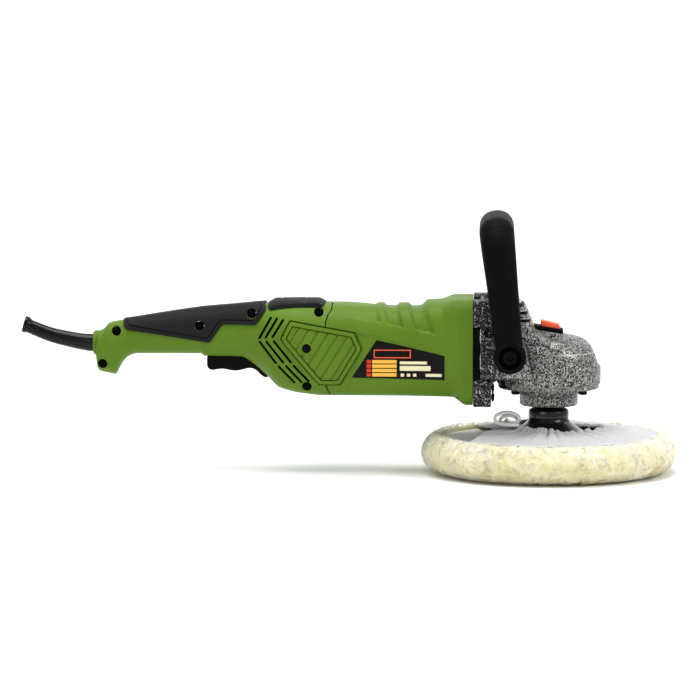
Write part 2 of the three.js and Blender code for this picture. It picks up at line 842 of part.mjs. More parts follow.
/** A bevel gear facing up: its teeth point at the place where the two axes cross. */
function bevelGear() {
  const teeth = toothRing(GEAR_TEETH, 0.5, GEAR_ROOT);
  const flat = (r, z) => teeth.map(([angle]) => [r * Math.cos(angle), r * Math.sin(angle), z]);
  const toothed = (r) =>
    teeth.map(([angle, height]) => {
      const z = MOTOR_Z - (PINION_R / GEAR_R) * r + (height * r) / GEAR_R;
      return [r * Math.cos(angle), r * Math.sin(angle), z];
    });
  let gear = loft([flat(36, 90), toothed(36), toothed(24), flat(22, GEAR_WEB_Z)]);
  gear = cut(gear, rod("z", [0, 0], 80, 110, 8.6, 16));
  const start = Math.atan2(BUTTON_Y, BUTTON_X);
  for (let k = 0; k < LOCK_HOLES; k += 1) {
    const angle = start + (2 * Math.PI * k) / LOCK_HOLES;
    const r = Math.hypot(BUTTON_X, BUTTON_Y);
    gear = cut(gear, rod("z", [r * Math.cos(angle), r * Math.sin(angle)], 80, 110, 3.4, 10));
  }
  return gear;
}
put(spindle, "bevel_gear", "steel", bevelGear());

/** Height of the moulded plate's flared neck over its flange. */
function neckHeight(r) {
  return PLATE_TOP + FLARE * Math.max(0, (PLATE_R - r) / (PLATE_R - NECK_R)) ** 1.9;
}

/** The plate is one moulding: a flange in the foam, a flared neck and a rim round the thread. */
function backingPlate() {
  const outline = [
    [0, FOAM_TOP - 3 + GAP],
    [PLATE_R, FOAM_TOP - 3 + GAP],
  ];
  for (let r = PLATE_R; r > NECK_R + 1; r -= 5) outline.push([r, neckHeight(r)]);
  outline.push([NECK_R + 0.4, 45], [NECK_R, 48], [NECK_R, NECK_TOP]);
  outline.push([7.1, NECK_TOP], [7.1, 34], [0, 34]);
  return turned(outline, 26);
}
put(spindle, "backing_plate", "guard", backingPlate());

const foam = turned(
  [
    [0, FOAM_BOTTOM],
    [FOAM_R - 1.5, FOAM_BOTTOM],
    [FOAM_R, FOAM_BOTTOM + 1.5],
    [FOAM_R, FOAM_TOP - 3],
    [FOAM_R - 3, FOAM_TOP],
    [PLATE_R + GAP, FOAM_TOP],
    [PLATE_R + GAP, FOAM_TOP - 3],
    [0, FOAM_TOP - 3],
  ],
  36,
);
put(spindle, "foam_pad", "foam", foam);

/** The wool covers the pad's face and rolls over its edge. */
const wool = turned(
  [
    [0, 0],
    [90, 0],
    [100, 3],
    [106.6, 9],
    [BONNET_R, 16.5],
    [106.6, 24.5],
    [101.5, 30.5],
    [97.5, 32],
    [94.5, 31.2],
    [93.2, 28.6],
    [FOAM_R + GAP, 28.4],
    [FOAM_R + GAP, FOAM_BOTTOM - GAP],
    [0, FOAM_BOTTOM - GAP],
  ],
  36,
);
put(spindle, "wool_bonnet", "wool", wool);

// The skirt's opening is drawn off centre: centre and half sizes.
const OPENING = [9.5, 0, 36.5, 30];
const SKIRT_R = 92.8;
const CLOTH = 1.2;

/** A low tent over the pad, from the skirt's sewn edge up to its opening. */
function tent(rise) {
  const count = 28;
  const circle = superellipse(SKIRT_R, SKIRT_R, 2, count);
  const [cx, cy, a, b] = OPENING;
  const opening = superellipse(a, b, 2, count).map(([x, y]) => [cx + 0.96 * x, cy + 0.96 * y]);
  const crest = opening.map(([x, y]) => [x, y, rise + Math.max(neckHeight(Math.hypot(x, y)) + 1, 34)]);
  return loft([circle.map(([x, y]) => [x, y, 10]), circle.map(([x, y]) => [x, y, 29 + rise]), crest]);
}

/** The skirt is open behind its drawstring, where its two ends don't meet. */
function bonnetCloth() {
  const [cx, cy, a, b] = OPENING;
  const hole = slab(superellipse(a, b, 2, 28).map(([x, y]) => [x + cx, y + cy]), 0, 60);
  const notch = slab(
    [
      [-45, 1],
      [-64, -4],
      [-83, -22],
      [-120, -57],
      [-120, 120],
      [-66, 120],
      [-47, 6],
    ].reverse(),
    0,
    60,
  );
  return cut(tent(CLOTH), tent(0), hole, notch, box([-120, -120, 0], [120, 120, 28.8]));
}
put(spindle, "bonnet_cloth", "cloth", bonnetCloth());

/** The drawstring comes out of the hem, makes two loops beside the neck and goes back in. */
const STRING_R = 1.6;
const STRING_ROUTE = [
  [-25.5, -16.5, 42],
  [-30, -17, 41.8],
  [-36, -15.5, 41.2],
  [-41.5, -12, 41.8],
  [-44.6, -9, 44.6],
  [-43.4, -6.5, 48.6],
  [-38.6, -4.8, 51.2],
  [-32.6, -4.2, 51.6],
  [-27.4, -4.2, 49.6],
  [-25, -4.6, 45.8],
  [-26.6, -6, 42.4],
  [-31.5, -7.6, 42],
  [-36.8, -9, 42],
  [-38.6, -10.6, 44.6],
  [-36, -12, 47.6],
  [-31.6, -12.6, 48],
  [-28.2, -12.6, 45.4],
  [-28, -11.8, 42.2],
];

/** A round tube along a smooth curve through the points. */
function tube(points, r, sides, steps) {
  const curve = new THREE.CatmullRomCurve3(points.map((point) => new THREE.Vector3(...point)));
  const shape = new THREE.Shape(superellipse(r, r, 2, sides).map(([x, y]) => new THREE.Vector2(x, y)));
  return solid(new THREE.ExtrudeGeometry(shape, { steps, bevelEnabled: false, extrudePath: curve }));
}
put(spindle, "drawstring", "cloth", tube(STRING_ROUTE, STRING_R, 8, 36));

// ---- Spindle lock ----

/** The cap is a cup round its spring, with a top that follows the casting's slope. */
function lockButton() {
  const [halfX, halfY] = BUTTON_HALF;
  const outline = [
    [-halfX, 117],
    [halfX, 117],
    [halfX, 128],
    [-halfX, 131.9],
  ];
  const cup = cut(plate(outline, -halfY, halfY), rod("z", [0, 0], 110, 126, 5.5, 12));
  return cut(cup, rod("z", [0, 0], 120, 127.6, PIN_R + GAP, 10));
}
put(lock, "lock_button", "orange", lockButton());
put(lock, "lock_pin", "steel", rod("z", [0, 0], 99, 127.3, PIN_R, 10));

/** The spring stands round the pin, from the pocket's floor to the cap's ceiling. */
function lockSpring() {
  const [turns, perTurn, r, wire] = [4, 8, 4.2, 0.5];
  const [bottom, top] = [POCKET_FLOOR + 0.8, 125.2];
  const points = [];
  for (let k = 0; k <= turns * perTurn; k += 1) {
    const angle = (2 * Math.PI * k) / perTurn;
    const z = bottom + ((top - bottom) * k) / (turns * perTurn);
    points.push([BUTTON_X + r * Math.cos(angle), BUTTON_Y + r * Math.sin(angle), z]);
  }
  return tube(points, wire, 5, turns * perTurn);
}
put(housing, "lock_spring", "steel", lockSpring());

// ---- D-handle, about its pivot ----

/** Half of the bow from a boss to the middle of the crossbar, mirrored for the other half. */
const BOW = [
  [56.6, -6, 11, 8],
  [56.6, 30, 12.2, 9],
  [57, 60, 13.2, 10.5],
  [57.4, 78, 13.9, 12.4],
  [54.6, 91, 14.4, 13.8],
  [47, 99.9, 14.7, 14.6],
  [36, 103, 14.8, 14.8],
];

function dHandle() {
  const far = [...BOW].reverse().map(([y, z, halfX, half]) => [-y, z, halfX, half]);
  let body = loft(bowRings([...BOW, ...far]));
  for (const side of [-1, 1]) {
    const span = (near, away) => [side * near, side * away].sort((a, b) => a - b);
    body = join(body, rod("y", [0, 0], ...span(47.5, 66), 13.5, 20));
    body = cut(body, rod("y", [0, 0], ...span(58, 80), 9.8, 16));
    body = cut(body, rod("y", [0, 0], ...span(40, 70), 4.4, 12));
  }
  return body;
}
put(handle, "d_handle", "blackPlastic", dHandle());

/** A socket-head bolt through the handle's boss into the gear head. */
function handleBolt() {
  const [x, , z] = HANDLE_PIVOT;
  const head = cut(rod("y", [x, z], -64.3, -58.3, 6.3, 14), rod("y", [x, z], -70, -61.3, 3.6, 6));
  return join(head, rod("y", [x, z], -58.5, -36, 4, 10));
}
put(housing, "handle_bolt_right", "darkSteel", handleBolt());
put(housing, "handle_bolt_left", "darkSteel", mirrored(handleBolt()));

export default polisher;
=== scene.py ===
import math
import random

import bmesh
import bpy
from mathutils import Matrix, Vector, noise


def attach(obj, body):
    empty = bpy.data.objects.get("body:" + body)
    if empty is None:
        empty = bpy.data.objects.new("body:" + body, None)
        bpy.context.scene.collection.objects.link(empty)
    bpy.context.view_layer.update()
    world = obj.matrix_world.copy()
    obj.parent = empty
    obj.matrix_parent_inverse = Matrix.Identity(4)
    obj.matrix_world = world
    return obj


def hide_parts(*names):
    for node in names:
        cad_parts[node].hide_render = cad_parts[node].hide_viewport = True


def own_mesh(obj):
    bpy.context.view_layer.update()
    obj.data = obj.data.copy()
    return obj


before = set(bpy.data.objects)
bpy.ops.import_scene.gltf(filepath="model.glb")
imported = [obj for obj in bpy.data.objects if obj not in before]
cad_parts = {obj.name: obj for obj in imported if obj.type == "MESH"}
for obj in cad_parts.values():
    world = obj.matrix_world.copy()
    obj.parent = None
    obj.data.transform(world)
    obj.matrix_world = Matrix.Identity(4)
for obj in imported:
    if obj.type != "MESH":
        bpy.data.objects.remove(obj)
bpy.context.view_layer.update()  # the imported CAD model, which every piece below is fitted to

MM = 0.001  # every length below is in millimetres until a piece is placed

# The object's main places, which the CAD model holds too.
MOTOR_Z = 105.0
MOTOR = (0, MOTOR_Z)  # the motor's axis: its Y and Z
SEAM_X = -189.0  # the handle shells' front edge
COLLAR_X = -64.6  # the motor housing's front face
PIVOT = Vector((-33.3, 0.0, 104.0))  # the D-handle's pivot
GUARD_Z = 109.5  # height of the cord guard at the heel
HANDLE_LEAN = -0.11  # the D-handle's lean at rest, in radians
PARTING = 0.15  # half the gap between two mouldings

# The body's side view: place along the tool, underside, top, half width and squareness.
BODY = [
    (-386.4, 95.5, 114.5, 9.5, 2.3),
    (-386.0, 91.2, 117.2, 12.4, 2.4),
    (-384.9, 87.4, 119.0, 15.0, 2.5),
    (-382.8, 85.3, 120.3, 16.6, 2.5),
    (-379.6, 84.6, 122.2, 17.4, 2.5),
    (-375.6, 83.8, 126.6, 18.2, 2.5),
    (-369.6, 82.7, 128.2, 19.0, 2.5),
    (-367.0, 87.4, 128.7, 19.1, 2.5),
    (-363.9, 92.9, 129.2, 19.0, 2.5),
    (-358.3, 98.5, 129.9, 18.6, 2.5),
    (-350.9, 100.6, 131.0, 18.2, 2.5),
    (-331.0, 100.7, 134.3, 18.0, 2.5),
    (-297.0, 100.7, 139.4, 18.8, 2.5),
    (-293.5, 98.8, 139.8, 19.0, 2.6),
    (-263.0, 98.6, 142.5, 21.5, 2.6),
    (-249.5, 91.5, 143.8, 26.0, 2.7),
    (-239.3, 81.7, 144.4, 31.0, 2.8),
    (-229.0, 72.3, 144.9, 35.0, 3.0),
    (-209.0, 67.6, 145.0, 38.5, 3.2),
    (-189.0, 65.9, 144.8, 39.3, 3.2),
    (-150.0, 65.9, 144.6, 39.3, 3.2),
    (-112.0, 65.8, 144.6, 39.5, 3.4),
    (-104.0, 65.7, 146.6, 40.2, 3.6),
    (-92.0, 65.5, 147.2, 40.6, 4.0),
    (-90.6, 65.4, 147.4, 40.8, 4.2),
    (-81.6, 60.2, 149.8, 44.8, 6.6),
    (-80.2, 60.0, 150.0, 45.0, 7.0),
    (-64.6, 60.0, 150.0, 45.0, 7.0),
]


# ---- Curves and outlines ----

def ease(start, end, x):
    """0 before start, 1 after end, with a smooth rise between them."""
    t = min(1.0, max(0.0, (x - start) / (end - start)))
    return t * t * (3 - 2 * t)


def spread(start, end, step):
    """Evenly spaced values from start to end."""
    count = max(1, round(abs(end - start) / step))
    return [start + (end - start) * i / count for i in range(count + 1)]


def slopes(stations):
    """A slope for each column at each station that never overshoots its neighbours."""
    found = []
    for i in range(len(stations)):
        if i == 0 or i == len(stations) - 1:
            found.append([0.0] * (len(stations[0]) - 1))
            continue
        before, here, after = stations[i - 1 : i + 2]
        row = []
        for column in range(1, len(here)):
            left = (here[column] - before[column]) / (here[0] - before[0])
            right = (after[column] - here[column]) / (after[0] - here[0])
            row.append(0.0 if left * right <= 0 else 2 * left * right / (left + right))
        found.append(row)
    return found


BODY_SLOPES = slopes(BODY)


def section(x):
    """The body's underside, top, half width and squareness at one place along the tool."""
    x = min(BODY[-1][0], max(BODY[0][0], x))
    i = next(k for k in range(1, len(BODY)) if x <= BODY[k][0])
    before, after = BODY[i - 1], BODY[i]
    span = after[0] - before[0]
    t = (x - before[0]) / span
    values = []
    for column in range(1, len(before)):
        a, b = before[column], after[column]
        sa, sb = BODY_SLOPES[i - 1][column - 1] * span, BODY_SLOPES[i][column - 1] * span
        square, cube = 3 * (b - a) - 2 * sa - sb, 2 * (a - b) + sa + sb
        values.append(a + t * (sa + t * (square + t * cube)))
    return values


def superellipse(a, b, power, count):
    """Points round a rounded box: power 2 is an ellipse, and a high power is nearly a rectangle."""
    def bend(v):
        return math.copysign(abs(v) ** (2 / power), v)

    turn = 2 * math.pi / count
    return [(a * bend(math.cos(k * turn)), b * bend(math.sin(k * turn))) for k in range(count)]


def half_width(x, z, grow=0.0):
    """Half the body's width at a point of its side view, with its surface moved out by grow."""
    low, high, half, power = section(x)
    reach = min(0.9999, abs(z - (low + high) / 2) / ((high - low) / 2 + grow))
    return (half + grow) * (1 - reach**power) ** (1 / power)


def line_at(points, x):
    """Height of a line through points at x, level beyond its ends."""
    if x <= points[0][0]:
        return points[0][1]
    for (ax, az), (bx, bz) in zip(points, points[1:]):
        if x <= bx:
            return az + (bz - az) * (x - ax) / (bx - ax)
    return points[-1][1]


def edge_distance(outline, x, z):
    """Distance from a point to the nearest side of a closed outline."""
    best = 1e9
    for (ax, az), (bx, bz) in zip(outline, outline[1:] + outline[:1]):
        dx, dz = bx - ax, bz - az
        t = ((x - ax) * dx + (z - az) * dz) / (dx * dx + dz * dz)
        t = min(1.0, max(0.0, t))
        best = min(best, math.hypot(x - ax - t * dx, z - az - t * dz))
    return best


def area(outline):
    """Signed area of a closed outline, positive when it runs counterclockwise."""
    pairs = zip(outline, outline[1:] + outline[:1])
    return sum(ax * bz - bx * az for (ax, az), (bx, bz) in pairs) / 2


def grown(outline, distance):
    """The outline with each side moved outwards by a distance, corners kept sharp."""
    turn = 1 if area(outline) > 0 else -1
    result = []
    for i, here in enumerate(outline):
        before, after = outline[i - 1], outline[(i + 1) % len(outline)]
        a = Vector((here[0] - before[0], here[1] - before[1])).normalized()
        b = Vector((after[0] - here[0], after[1] - here[1])).normalized()
        na, nb = Vector((a.y, -a.x)) * turn, Vector((b.y, -b.x)) * turn
        out = (na + nb) / (1 + na.dot(nb))
        result.append((here[0] + out.x * distance, here[1] + out.y * distance))
    return result


def rounded(outline, radius, steps=5):
    """The outline with each corner replaced by a short curve."""
    result = []
    for i, here in enumerate(outline):
        corner = Vector(here)
        before, after = Vector(outline[i - 1]), Vector(outline[(i + 1) % len(outline)])
        back, on = before - corner, after - corner
        reach = min(radius, back.length * 0.45, on.length * 0.45)
        a, b = corner + back.normalized() * reach, corner + on.normalized() * reach
        for k in range(steps + 1):
            t = k / steps
            point = a * (1 - t) ** 2 + corner * 2 * t * (1 - t) + b * t**2
            result.append(tuple(point))
    return result


# ---- Meshes ----

def scene_object(name, data):
    """A new object in the scene."""
    obj = bpy.data.objects.new(name, data)
    bpy.context.scene.collection.objects.link(obj)
    return obj


def mesh_object(name, vertices, faces):
    """A new object from vertices in millimetres, its faces turned outwards."""
    mesh = bpy.data.meshes.new(name)
    mesh.from_pydata([tuple(v) for v in vertices], [], faces)
    shape = bmesh.new()
    shape.from_mesh(mesh)
    bmesh.ops.recalc_face_normals(shape, faces=shape.faces)
    shape.to_mesh(mesh)
    shape.free()
    return scene_object(name, mesh)


def loft(name, rings, capped=True):
    """A skin over rings of points. Uncapped, the last ring joins the first."""
    count = len(rings[0])
    faces = []
    for i in range(len(rings) - (1 if capped else 0)):
        j = (i + 1) % len(rings)
        for k in range(count):
            n = (k + 1) % count
            faces.append((i * count + k, i * count + n, j * count + n, j * count + k))
    if capped:
        faces.append(tuple(range(count))[::-1])
        faces.append(tuple((len(rings) - 1) * count + k for k in range(count)))
    return mesh_object(name, [p for ring in rings for p in ring], faces)


def prism(outline, low, high, axis="y"):
    """An outline extruded along one axis. The outline's two numbers are the other two axes."""
    slot = "xyz".index(axis)
    return loft("prism", [[(*p[:slot], level, *p[slot:]) for p in outline] for level in (low, high)])


def box(low, high):
    """A plain box, used for cutting."""
    (x0, y0, z0), (x1, y1, z1) = low, high
    return prism([(x0, z0), (x1, z0), (x1, z1), (x0, z1)], y0, y1)


def directions(count):
    """Even directions round a circle: each one's angle, cosine and sine."""
    angles = [2 * math.pi * k / count for k in range(count)]
    return [(angle, math.cos(angle), math.sin(angle)) for angle in angles]


def turned(name, outline, axis="z", centre=(0, 0, 0), sides=64):
    """A closed outline of (radius, height) turned about a line through the centre."""
    rings = []
    for _, c, s in directions(sides):
        ring = []
        for r, h in outline:
            r = max(r, 0.001)
            local = {"x": (h, r * c, r * s), "y": (r * s, h, r * c), "z": (r * c, r * s, h)}[axis]
            ring.append([local[i] + centre[i] for i in range(3)])
        rings.append(ring)
    return loft(name, rings, capped=False)


def rod(axis, centre, low, high, radius, sides=40):
    """A cylinder along one axis. The centre is its place on the other two axes, in X, Y, Z order."""
    across, up = centre
    outline = [(across + radius * c, up + radius * s) for c, s in superellipse(1, 1, 2, sides)]
    return prism(outline, low, high, axis)


def settle(obj):
    """Makes an object's modifiers part of its mesh."""
    graph = bpy.context.evaluated_depsgraph_get()
    mesh = bpy.data.meshes.new_from_object(obj.evaluated_get(graph))
    obj.modifiers.clear()
    obj.data = mesh
    return obj


def combine(target, tool, operation="DIFFERENCE"):
    """Cuts a tool out of a mesh, joins it on, or keeps what both share."""
    modifier = target.modifiers.new("combine", "BOOLEAN")
    modifier.solver = "MANIFOLD"
    modifier.operation = operation
    modifier.object = tool
    settle(target)
    bpy.data.objects.remove(tool)
    return target


def carved(target, *tools):
    """Cuts tools out of a mesh, one after another."""
    for tool in tools:
        combine(target, tool)
    return target


def joined(target, *others):
    """Joins solids onto a mesh, one after another."""
    for other in others:
        combine(target, other, "UNION")
    return target


def moved(obj, *place_at):
    """Moves a piece's mesh by a distance along each axis."""
    obj.data.transform(Matrix.Translation(place_at))
    return obj


def mirrored(obj):
    """The same piece on the other side of the tool."""
    twin = scene_object("twin", obj.data.copy())
    twin.data.transform(Matrix.Scale(-1, 4, (0, 1, 0)))
    twin.data.flip_normals()
    return twin


def remeshed(obj, voxel, smoothing=0):
    """Melts joined solids into one skin with soft inner corners, as a casting has."""
    grid = obj.modifiers.new("grid", "REMESH")
    grid.mode = "VOXEL"
    grid.voxel_size = voxel
    if smoothing:
        soften = obj.modifiers.new("soften", "SMOOTH")
        soften.factor = 0.5
        soften.iterations = smoothing
    return settle(obj)


def place(obj, name, material, body, nodes=(), sharp=35):
    """Brings a piece to metres, gives it its finish, and says what it rides on and stands for."""
    obj.name = name
    obj.data.name = name
    obj.data.transform(Matrix.Scale(MM, 4))
    obj.data.materials.clear()
    obj.data.materials.append(material)
    obj.data.polygons.foreach_set("use_smooth", [True] * len(obj.data.polygons))
    if sharp:
        obj.data.set_sharp_from_angle(angle=math.radians(sharp))
    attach(obj, body)
    if nodes:
        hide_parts(*nodes)
    return obj


# ---- Materials ----

class Finish:
    """Builds one material: a Principled surface fed by noise in the piece's own space."""

    def __init__(self, name):
        self.material = bpy.data.materials.new(name)
        self.material.use_nodes = True
        self.tree = self.material.node_tree
        self.surface = self.tree.nodes["Principled BSDF"]
        self.space = self.node("ShaderNodeTexCoord").outputs["Object"]

    def node(self, kind, **values):
        """A new shader node with some of its settings."""
        made = self.tree.nodes.new(kind)
        for key, value in values.items():
            setattr(made, key, value)
        return made

    def link(self, source, target):
        """Feeds a socket from another socket, or from a plain value."""
        if isinstance(source, bpy.types.NodeSocket):
            self.tree.links.new(source, target)
        else:
            target.default_value = source

    def maths(self, operation, *values):
        """A value worked out from sockets and numbers."""
        made = self.node("ShaderNodeMath", operation=operation)
        for value, socket in zip(values, made.inputs):
            self.link(value, socket)
        return made.outputs[0]

    def along(self, axis):
        """The piece's own X, Y or Z, in metres."""
        split = self.node("ShaderNodeSeparateXYZ")
        self.link(self.space, split.inputs[0])
        return split.outputs[axis]

    def noise(self, scale, detail=3.0, rough=0.55, stretch=(1, 1, 1), distortion=0.0):
        """Noise with a grain of so many metres to the minus one, as a value from 0 to 1."""
        mapping = self.node("ShaderNodeMapping")
        self.fill(mapping, Vector=self.space, Scale=stretch)
        made = self.node("ShaderNodeTexNoise")
        self.fill(made, Vector=mapping.outputs["Vector"], Scale=scale)
        self.fill(made, Detail=detail, Roughness=rough, Distortion=distortion)
        return made.outputs["Fac"]

    def ramp(self, value, stops):
        """Colours or greys along a value: stops are (place, colour)."""
        made = self.node("ShaderNodeValToRGB")
        elements = made.color_ramp.elements
        while len(elements) < len(stops):
            elements.new(0.5)
        for element, (share, colour) in zip(elements, stops):
            element.position = share
            element.color = (*colour, 1)
        self.link(value, made.inputs["Fac"])
        return made.outputs["Color"]

    def grey(self, value, low, high, start=0.3, end=0.7):
        """A grey that goes from low to high while the value goes from start to end."""
        return self.ramp(value, [(start, (low, low, low)), (end, (high, high, high))])

    def bump(self, value, strength, distance, after=None):
        """A bump whose full height is distance, in millimetres."""
        made = self.node("ShaderNodeBump")
        self.fill(made, Height=value, Strength=strength, Distance=distance * MM)
        if after is not None:
            self.link(after, made.inputs["Normal"])
        return made.outputs["Normal"]

    def soft_edges(self, radius):
        """A normal that rounds the piece's sharp edges by a radius in millimetres."""
        made = self.node("ShaderNodeBevel", samples=4)
        self.fill(made, Radius=radius * MM)
        return made.outputs["Normal"]

    def painted_crease_shade(self, colour, reach, depth):
        """A colour darkened to a share of itself in grooves and inner corners, as painted shade."""
        open_sky = self.node("ShaderNodeAmbientOcclusion", samples=6)
        self.fill(open_sky, Distance=reach * MM)
        shade = self.grey(open_sky.outputs["AO"], depth, 1.0, 0.3, 0.85)
        product = self.node("ShaderNodeVectorMath", operation="MULTIPLY")
        self.link(colour, product.inputs[0])
        self.link(shade, product.inputs[1])
        return product.outputs[0]

    def painted_edge_highlight(self, colour, lighter, reach):
        """A colour that turns lighter along outer edges, as a painted highlight."""
        inner = self.node("ShaderNodeAmbientOcclusion", samples=6, inside=True)
        self.fill(inner, Distance=reach * MM)
        mix = self.node("ShaderNodeMix", data_type="RGBA")
        share = self.grey(inner.outputs["AO"], 0.85, 0.0, 0.45, 0.8)
        # Inputs 6 and 7 of a colour mix are its two colours, and output 2 is the result.
        for source, socket in ((share, 0), (colour, 6), ((*lighter, 1), 7)):
            self.link(source, mix.inputs[socket])
        return mix.outputs[2]

    def fill(self, node, **sources):
        """Feeds a node's inputs, named with _ for spaces."""
        for key, source in sources.items():
            self.link(source, node.inputs[key.replace("_", " ")])

    def feed(self, **sources):
        """Feeds the surface's inputs, and gives the finished material."""
        self.fill(self.surface, **sources)
        return self.material


def moulded(name, dark, light, roughness, grain, grain_depth, edge=0.4, specular=0.5):
    """Moulded plastic or rubber: slow colour drift, a fine spark-eroded grain, soft edges and painted
    shade in creases.
    """
    f = Finish(name)
    drift = f.noise(22, 2)
    spots = f.noise(grain, 2, 0.6)
    normal = f.bump(spots, 0.6, grain_depth, f.soft_edges(edge) if edge else None)
    return f.feed(
        # Painted shade in grooves and inner corners.
        Base_Color=f.painted_crease_shade(f.ramp(drift, [(0.3, dark), (0.7, light)]), 2.2, 0.3),
        Roughness=f.grey(spots, roughness - 0.07, roughness + 0.07),
        Specular_IOR_Level=specular,
        Normal=normal,
    )


def metal(name, dark, light, roughness, stretch=(1, 1, 1), edge=0.25):
    """Machined metal: brushed roughness along one direction and a slight stain."""
    f = Finish(name)
    marks = f.noise(900, 3, 0.6, stretch)
    return f.feed(
        Base_Color=f.ramp(f.noise(60, 3), [(0.3, dark), (0.75, light)]),
        Metallic=1.0,
        Roughness=f.grey(marks, roughness - 0.1, roughness + 0.12),
        Normal=f.bump(marks, 0.35, 0.03, f.soft_edges(edge)),
    )


def hammertone():
    """Cast metal under hammertone paint: silver cells in a web of black veins, with painted shade on the
    flange and in creases and a painted highlight along outer edges.
    """
    f = Finish("hammertone")
    veins = f.noise(700, 0.7, 0.5, distortion=0.8)
    folded = f.maths("ABSOLUTE", f.maths("SUBTRACT", veins, 0.5))
    # Painted shade: the cells darken on the flange, behind the neck.
    flange_shade = f.node("ShaderNodeMapRange")
    f.fill(flange_shade, Value=f.along("X"), From_Min=-0.05, From_Max=-0.036, To_Min=0.08, To_Max=0.0)
    cells = f.maths("SUBTRACT", folded, flange_shade.outputs["Result"])
    colour = f.ramp(
        cells,
        [(0.045, (0.002, 0.002, 0.002)), (0.072, (0.02, 0.02, 0.019)), (0.125, (0.42, 0.415, 0.4))],
    )
    return f.feed(
        # Painted shade in creases and a painted highlight along outer edges.
        Base_Color=f.painted_edge_highlight(f.painted_crease_shade(colour, 4.0, 0.25), (0.5, 0.5, 0.48), 1.2),
        Metallic=0.3,
        Roughness=f.grey(cells, 0.5, 0.35, 0.02, 0.1),
        Specular_IOR_Level=0.3,
        Normal=f.bump(cells, 0.4, 0.3, f.soft_edges(0.6)),
    )


def wool_pile():
    """Lambswool: soft cream locks, yellower in patches, and darker and yellower towards the polishing
    face as painted shade on the roll's underside.
    """
    f = Finish("wool_pile")
    patches = f.noise(38, 3, 0.55, distortion=0.5)
    fibres = f.noise(700, 3, 0.6, (1, 1, 0.5), 0.6)
    # Painted shade: the pile darkens towards the polishing face; the patches are the wool's own tone.
    tone = f.ramp(
        f.maths("MULTIPLY_ADD", f.along("Z"), 9.0, patches),
        [(0.42, (0.62, 0.55, 0.24)), (0.58, (0.76, 0.7, 0.4)), (0.82, (0.84, 0.79, 0.57))],
    )
    return f.feed(
        Base_Color=tone,
        Roughness=1.0,
        Specular_IOR_Level=0.05,
        Sheen_Weight=0.35,
        Sheen_Roughness=0.6,
        Subsurface_Weight=0.85,
        Subsurface_Radius=(0.006, 0.0055, 0.0038),
        Subsurface_Scale=1.0,
        Normal=f.bump(fibres, 0.3, 0.3, f.bump(patches, 0.3, 1.5)),
    )


def woven(name, colour, shade, threads=1900.0):
    """Plain-woven cotton: two crossed sets of threads, small slubs and painted shade in its folds."""
    f = Finish(name)
    sets = [f.maths("SINE", f.maths("MULTIPLY", f.along(axis), threads * math.pi)) for axis in "XY"]
    weave = f.maths("MULTIPLY", *sets)
    slubs = f.noise(320, 3, 0.6, (1, 6, 1))
    return f.feed(
        # Painted shade in the cloth's folds.
        Base_Color=f.painted_crease_shade(f.ramp(slubs, [(0.3, shade), (0.6, colour)]), 6.0, 0.55),
        Roughness=0.95,
        Specular_IOR_Level=0.2,
        Sheen_Weight=0.3,
        Normal=f.bump(weave, 0.35, 0.12, f.bump(slubs, 0.3, 0.2)),
    )


# Each moulding has its darkest and lightest colour, roughness, grain per metre and its depth, then
# the radius of its softened edges and its shine where they aren't the usual.
LEAF, LIGHT_LEAF = (0.083, 0.163, 0.0105), (0.098, 0.186, 0.0125)
SOOT, LIGHT_SOOT = (0.01, 0.0096, 0.01), (0.015, 0.0145, 0.015)
JET, LIGHT_JET = (0.003, 0.003, 0.0028), (0.005, 0.0048, 0.0045)
GREEN = moulded("green_nylon", LEAF, LIGHT_LEAF, 0.5, 2600, 0.035, 0.4, 0.12)
RUBBER = moulded("soft_rubber", SOOT, LIGHT_SOOT, 0.6, 1500, 0.06, 0.5, 0.07)
BLACK = moulded("black_nylon", JET, LIGHT_JET, 0.55, 2400, 0.03, 0.5, 0.03)
GLOSS = moulded("glossy_black", (0.006, 0.006, 0.006), (0.01, 0.01, 0.0095), 0.2, 900, 0.02, 0.4, 0.5)
SLEEVE = moulded("sleeve_rubber", (0.003,) * 3, (0.005, 0.005, 0.0048), 0.2, 1200, 0.03, 0.4, 0.16)
ORANGE = moulded("orange_plastic", (0.8, 0.085, 0.012), (0.9, 0.115, 0.018), 0.38, 2000, 0.02)
PHENOLIC = moulded("module_plastic", (0.03, 0.035, 0.05), (0.05, 0.058, 0.08), 0.55, 1500, 0.03)
CARBON = moulded("carbon", (0.02, 0.02, 0.021), (0.04, 0.04, 0.042), 0.7, 3000, 0.05)
STEEL = metal("ground_steel", (0.42, 0.42, 0.43), (0.58, 0.58, 0.59), 0.3)
BLACK_STEEL = metal("black_steel", (0.004, 0.004, 0.0045), (0.01, 0.01, 0.011), 0.45)
LAMINATION = metal("lamination", (0.12, 0.11, 0.1), (0.26, 0.25, 0.24), 0.5, (12, 1, 1))
COPPER = metal("copper_wire", (0.36, 0.1, 0.03), (0.55, 0.19, 0.07), 0.35, (1, 8, 8))
BRASS = metal("brass", (0.5, 0.3, 0.07), (0.66, 0.42, 0.12), 0.32)
HAMMERTONE = hammertone()
INKS = {
    name: moulded(f"label_{name}", dark, light, 0.4, 500, 0.003, 0, shine)
    for name, dark, light, shine in (
        ("black", (0.003, 0.002, 0.002), (0.004, 0.003, 0.003), 0.1),
        ("red", (0.55, 0.03, 0.015), (0.6, 0.04, 0.02), 0.15),
        ("amber", (0.8, 0.42, 0.05), (0.85, 0.46, 0.06), 0.15),
        ("cream", (0.72, 0.68, 0.42), (0.78, 0.74, 0.48), 0.15),
    )
}
WOOL_PILE = wool_pile()
CLOTH = woven("white_cotton", (0.5, 0.5, 0.507), (0.43, 0.43, 0.44))
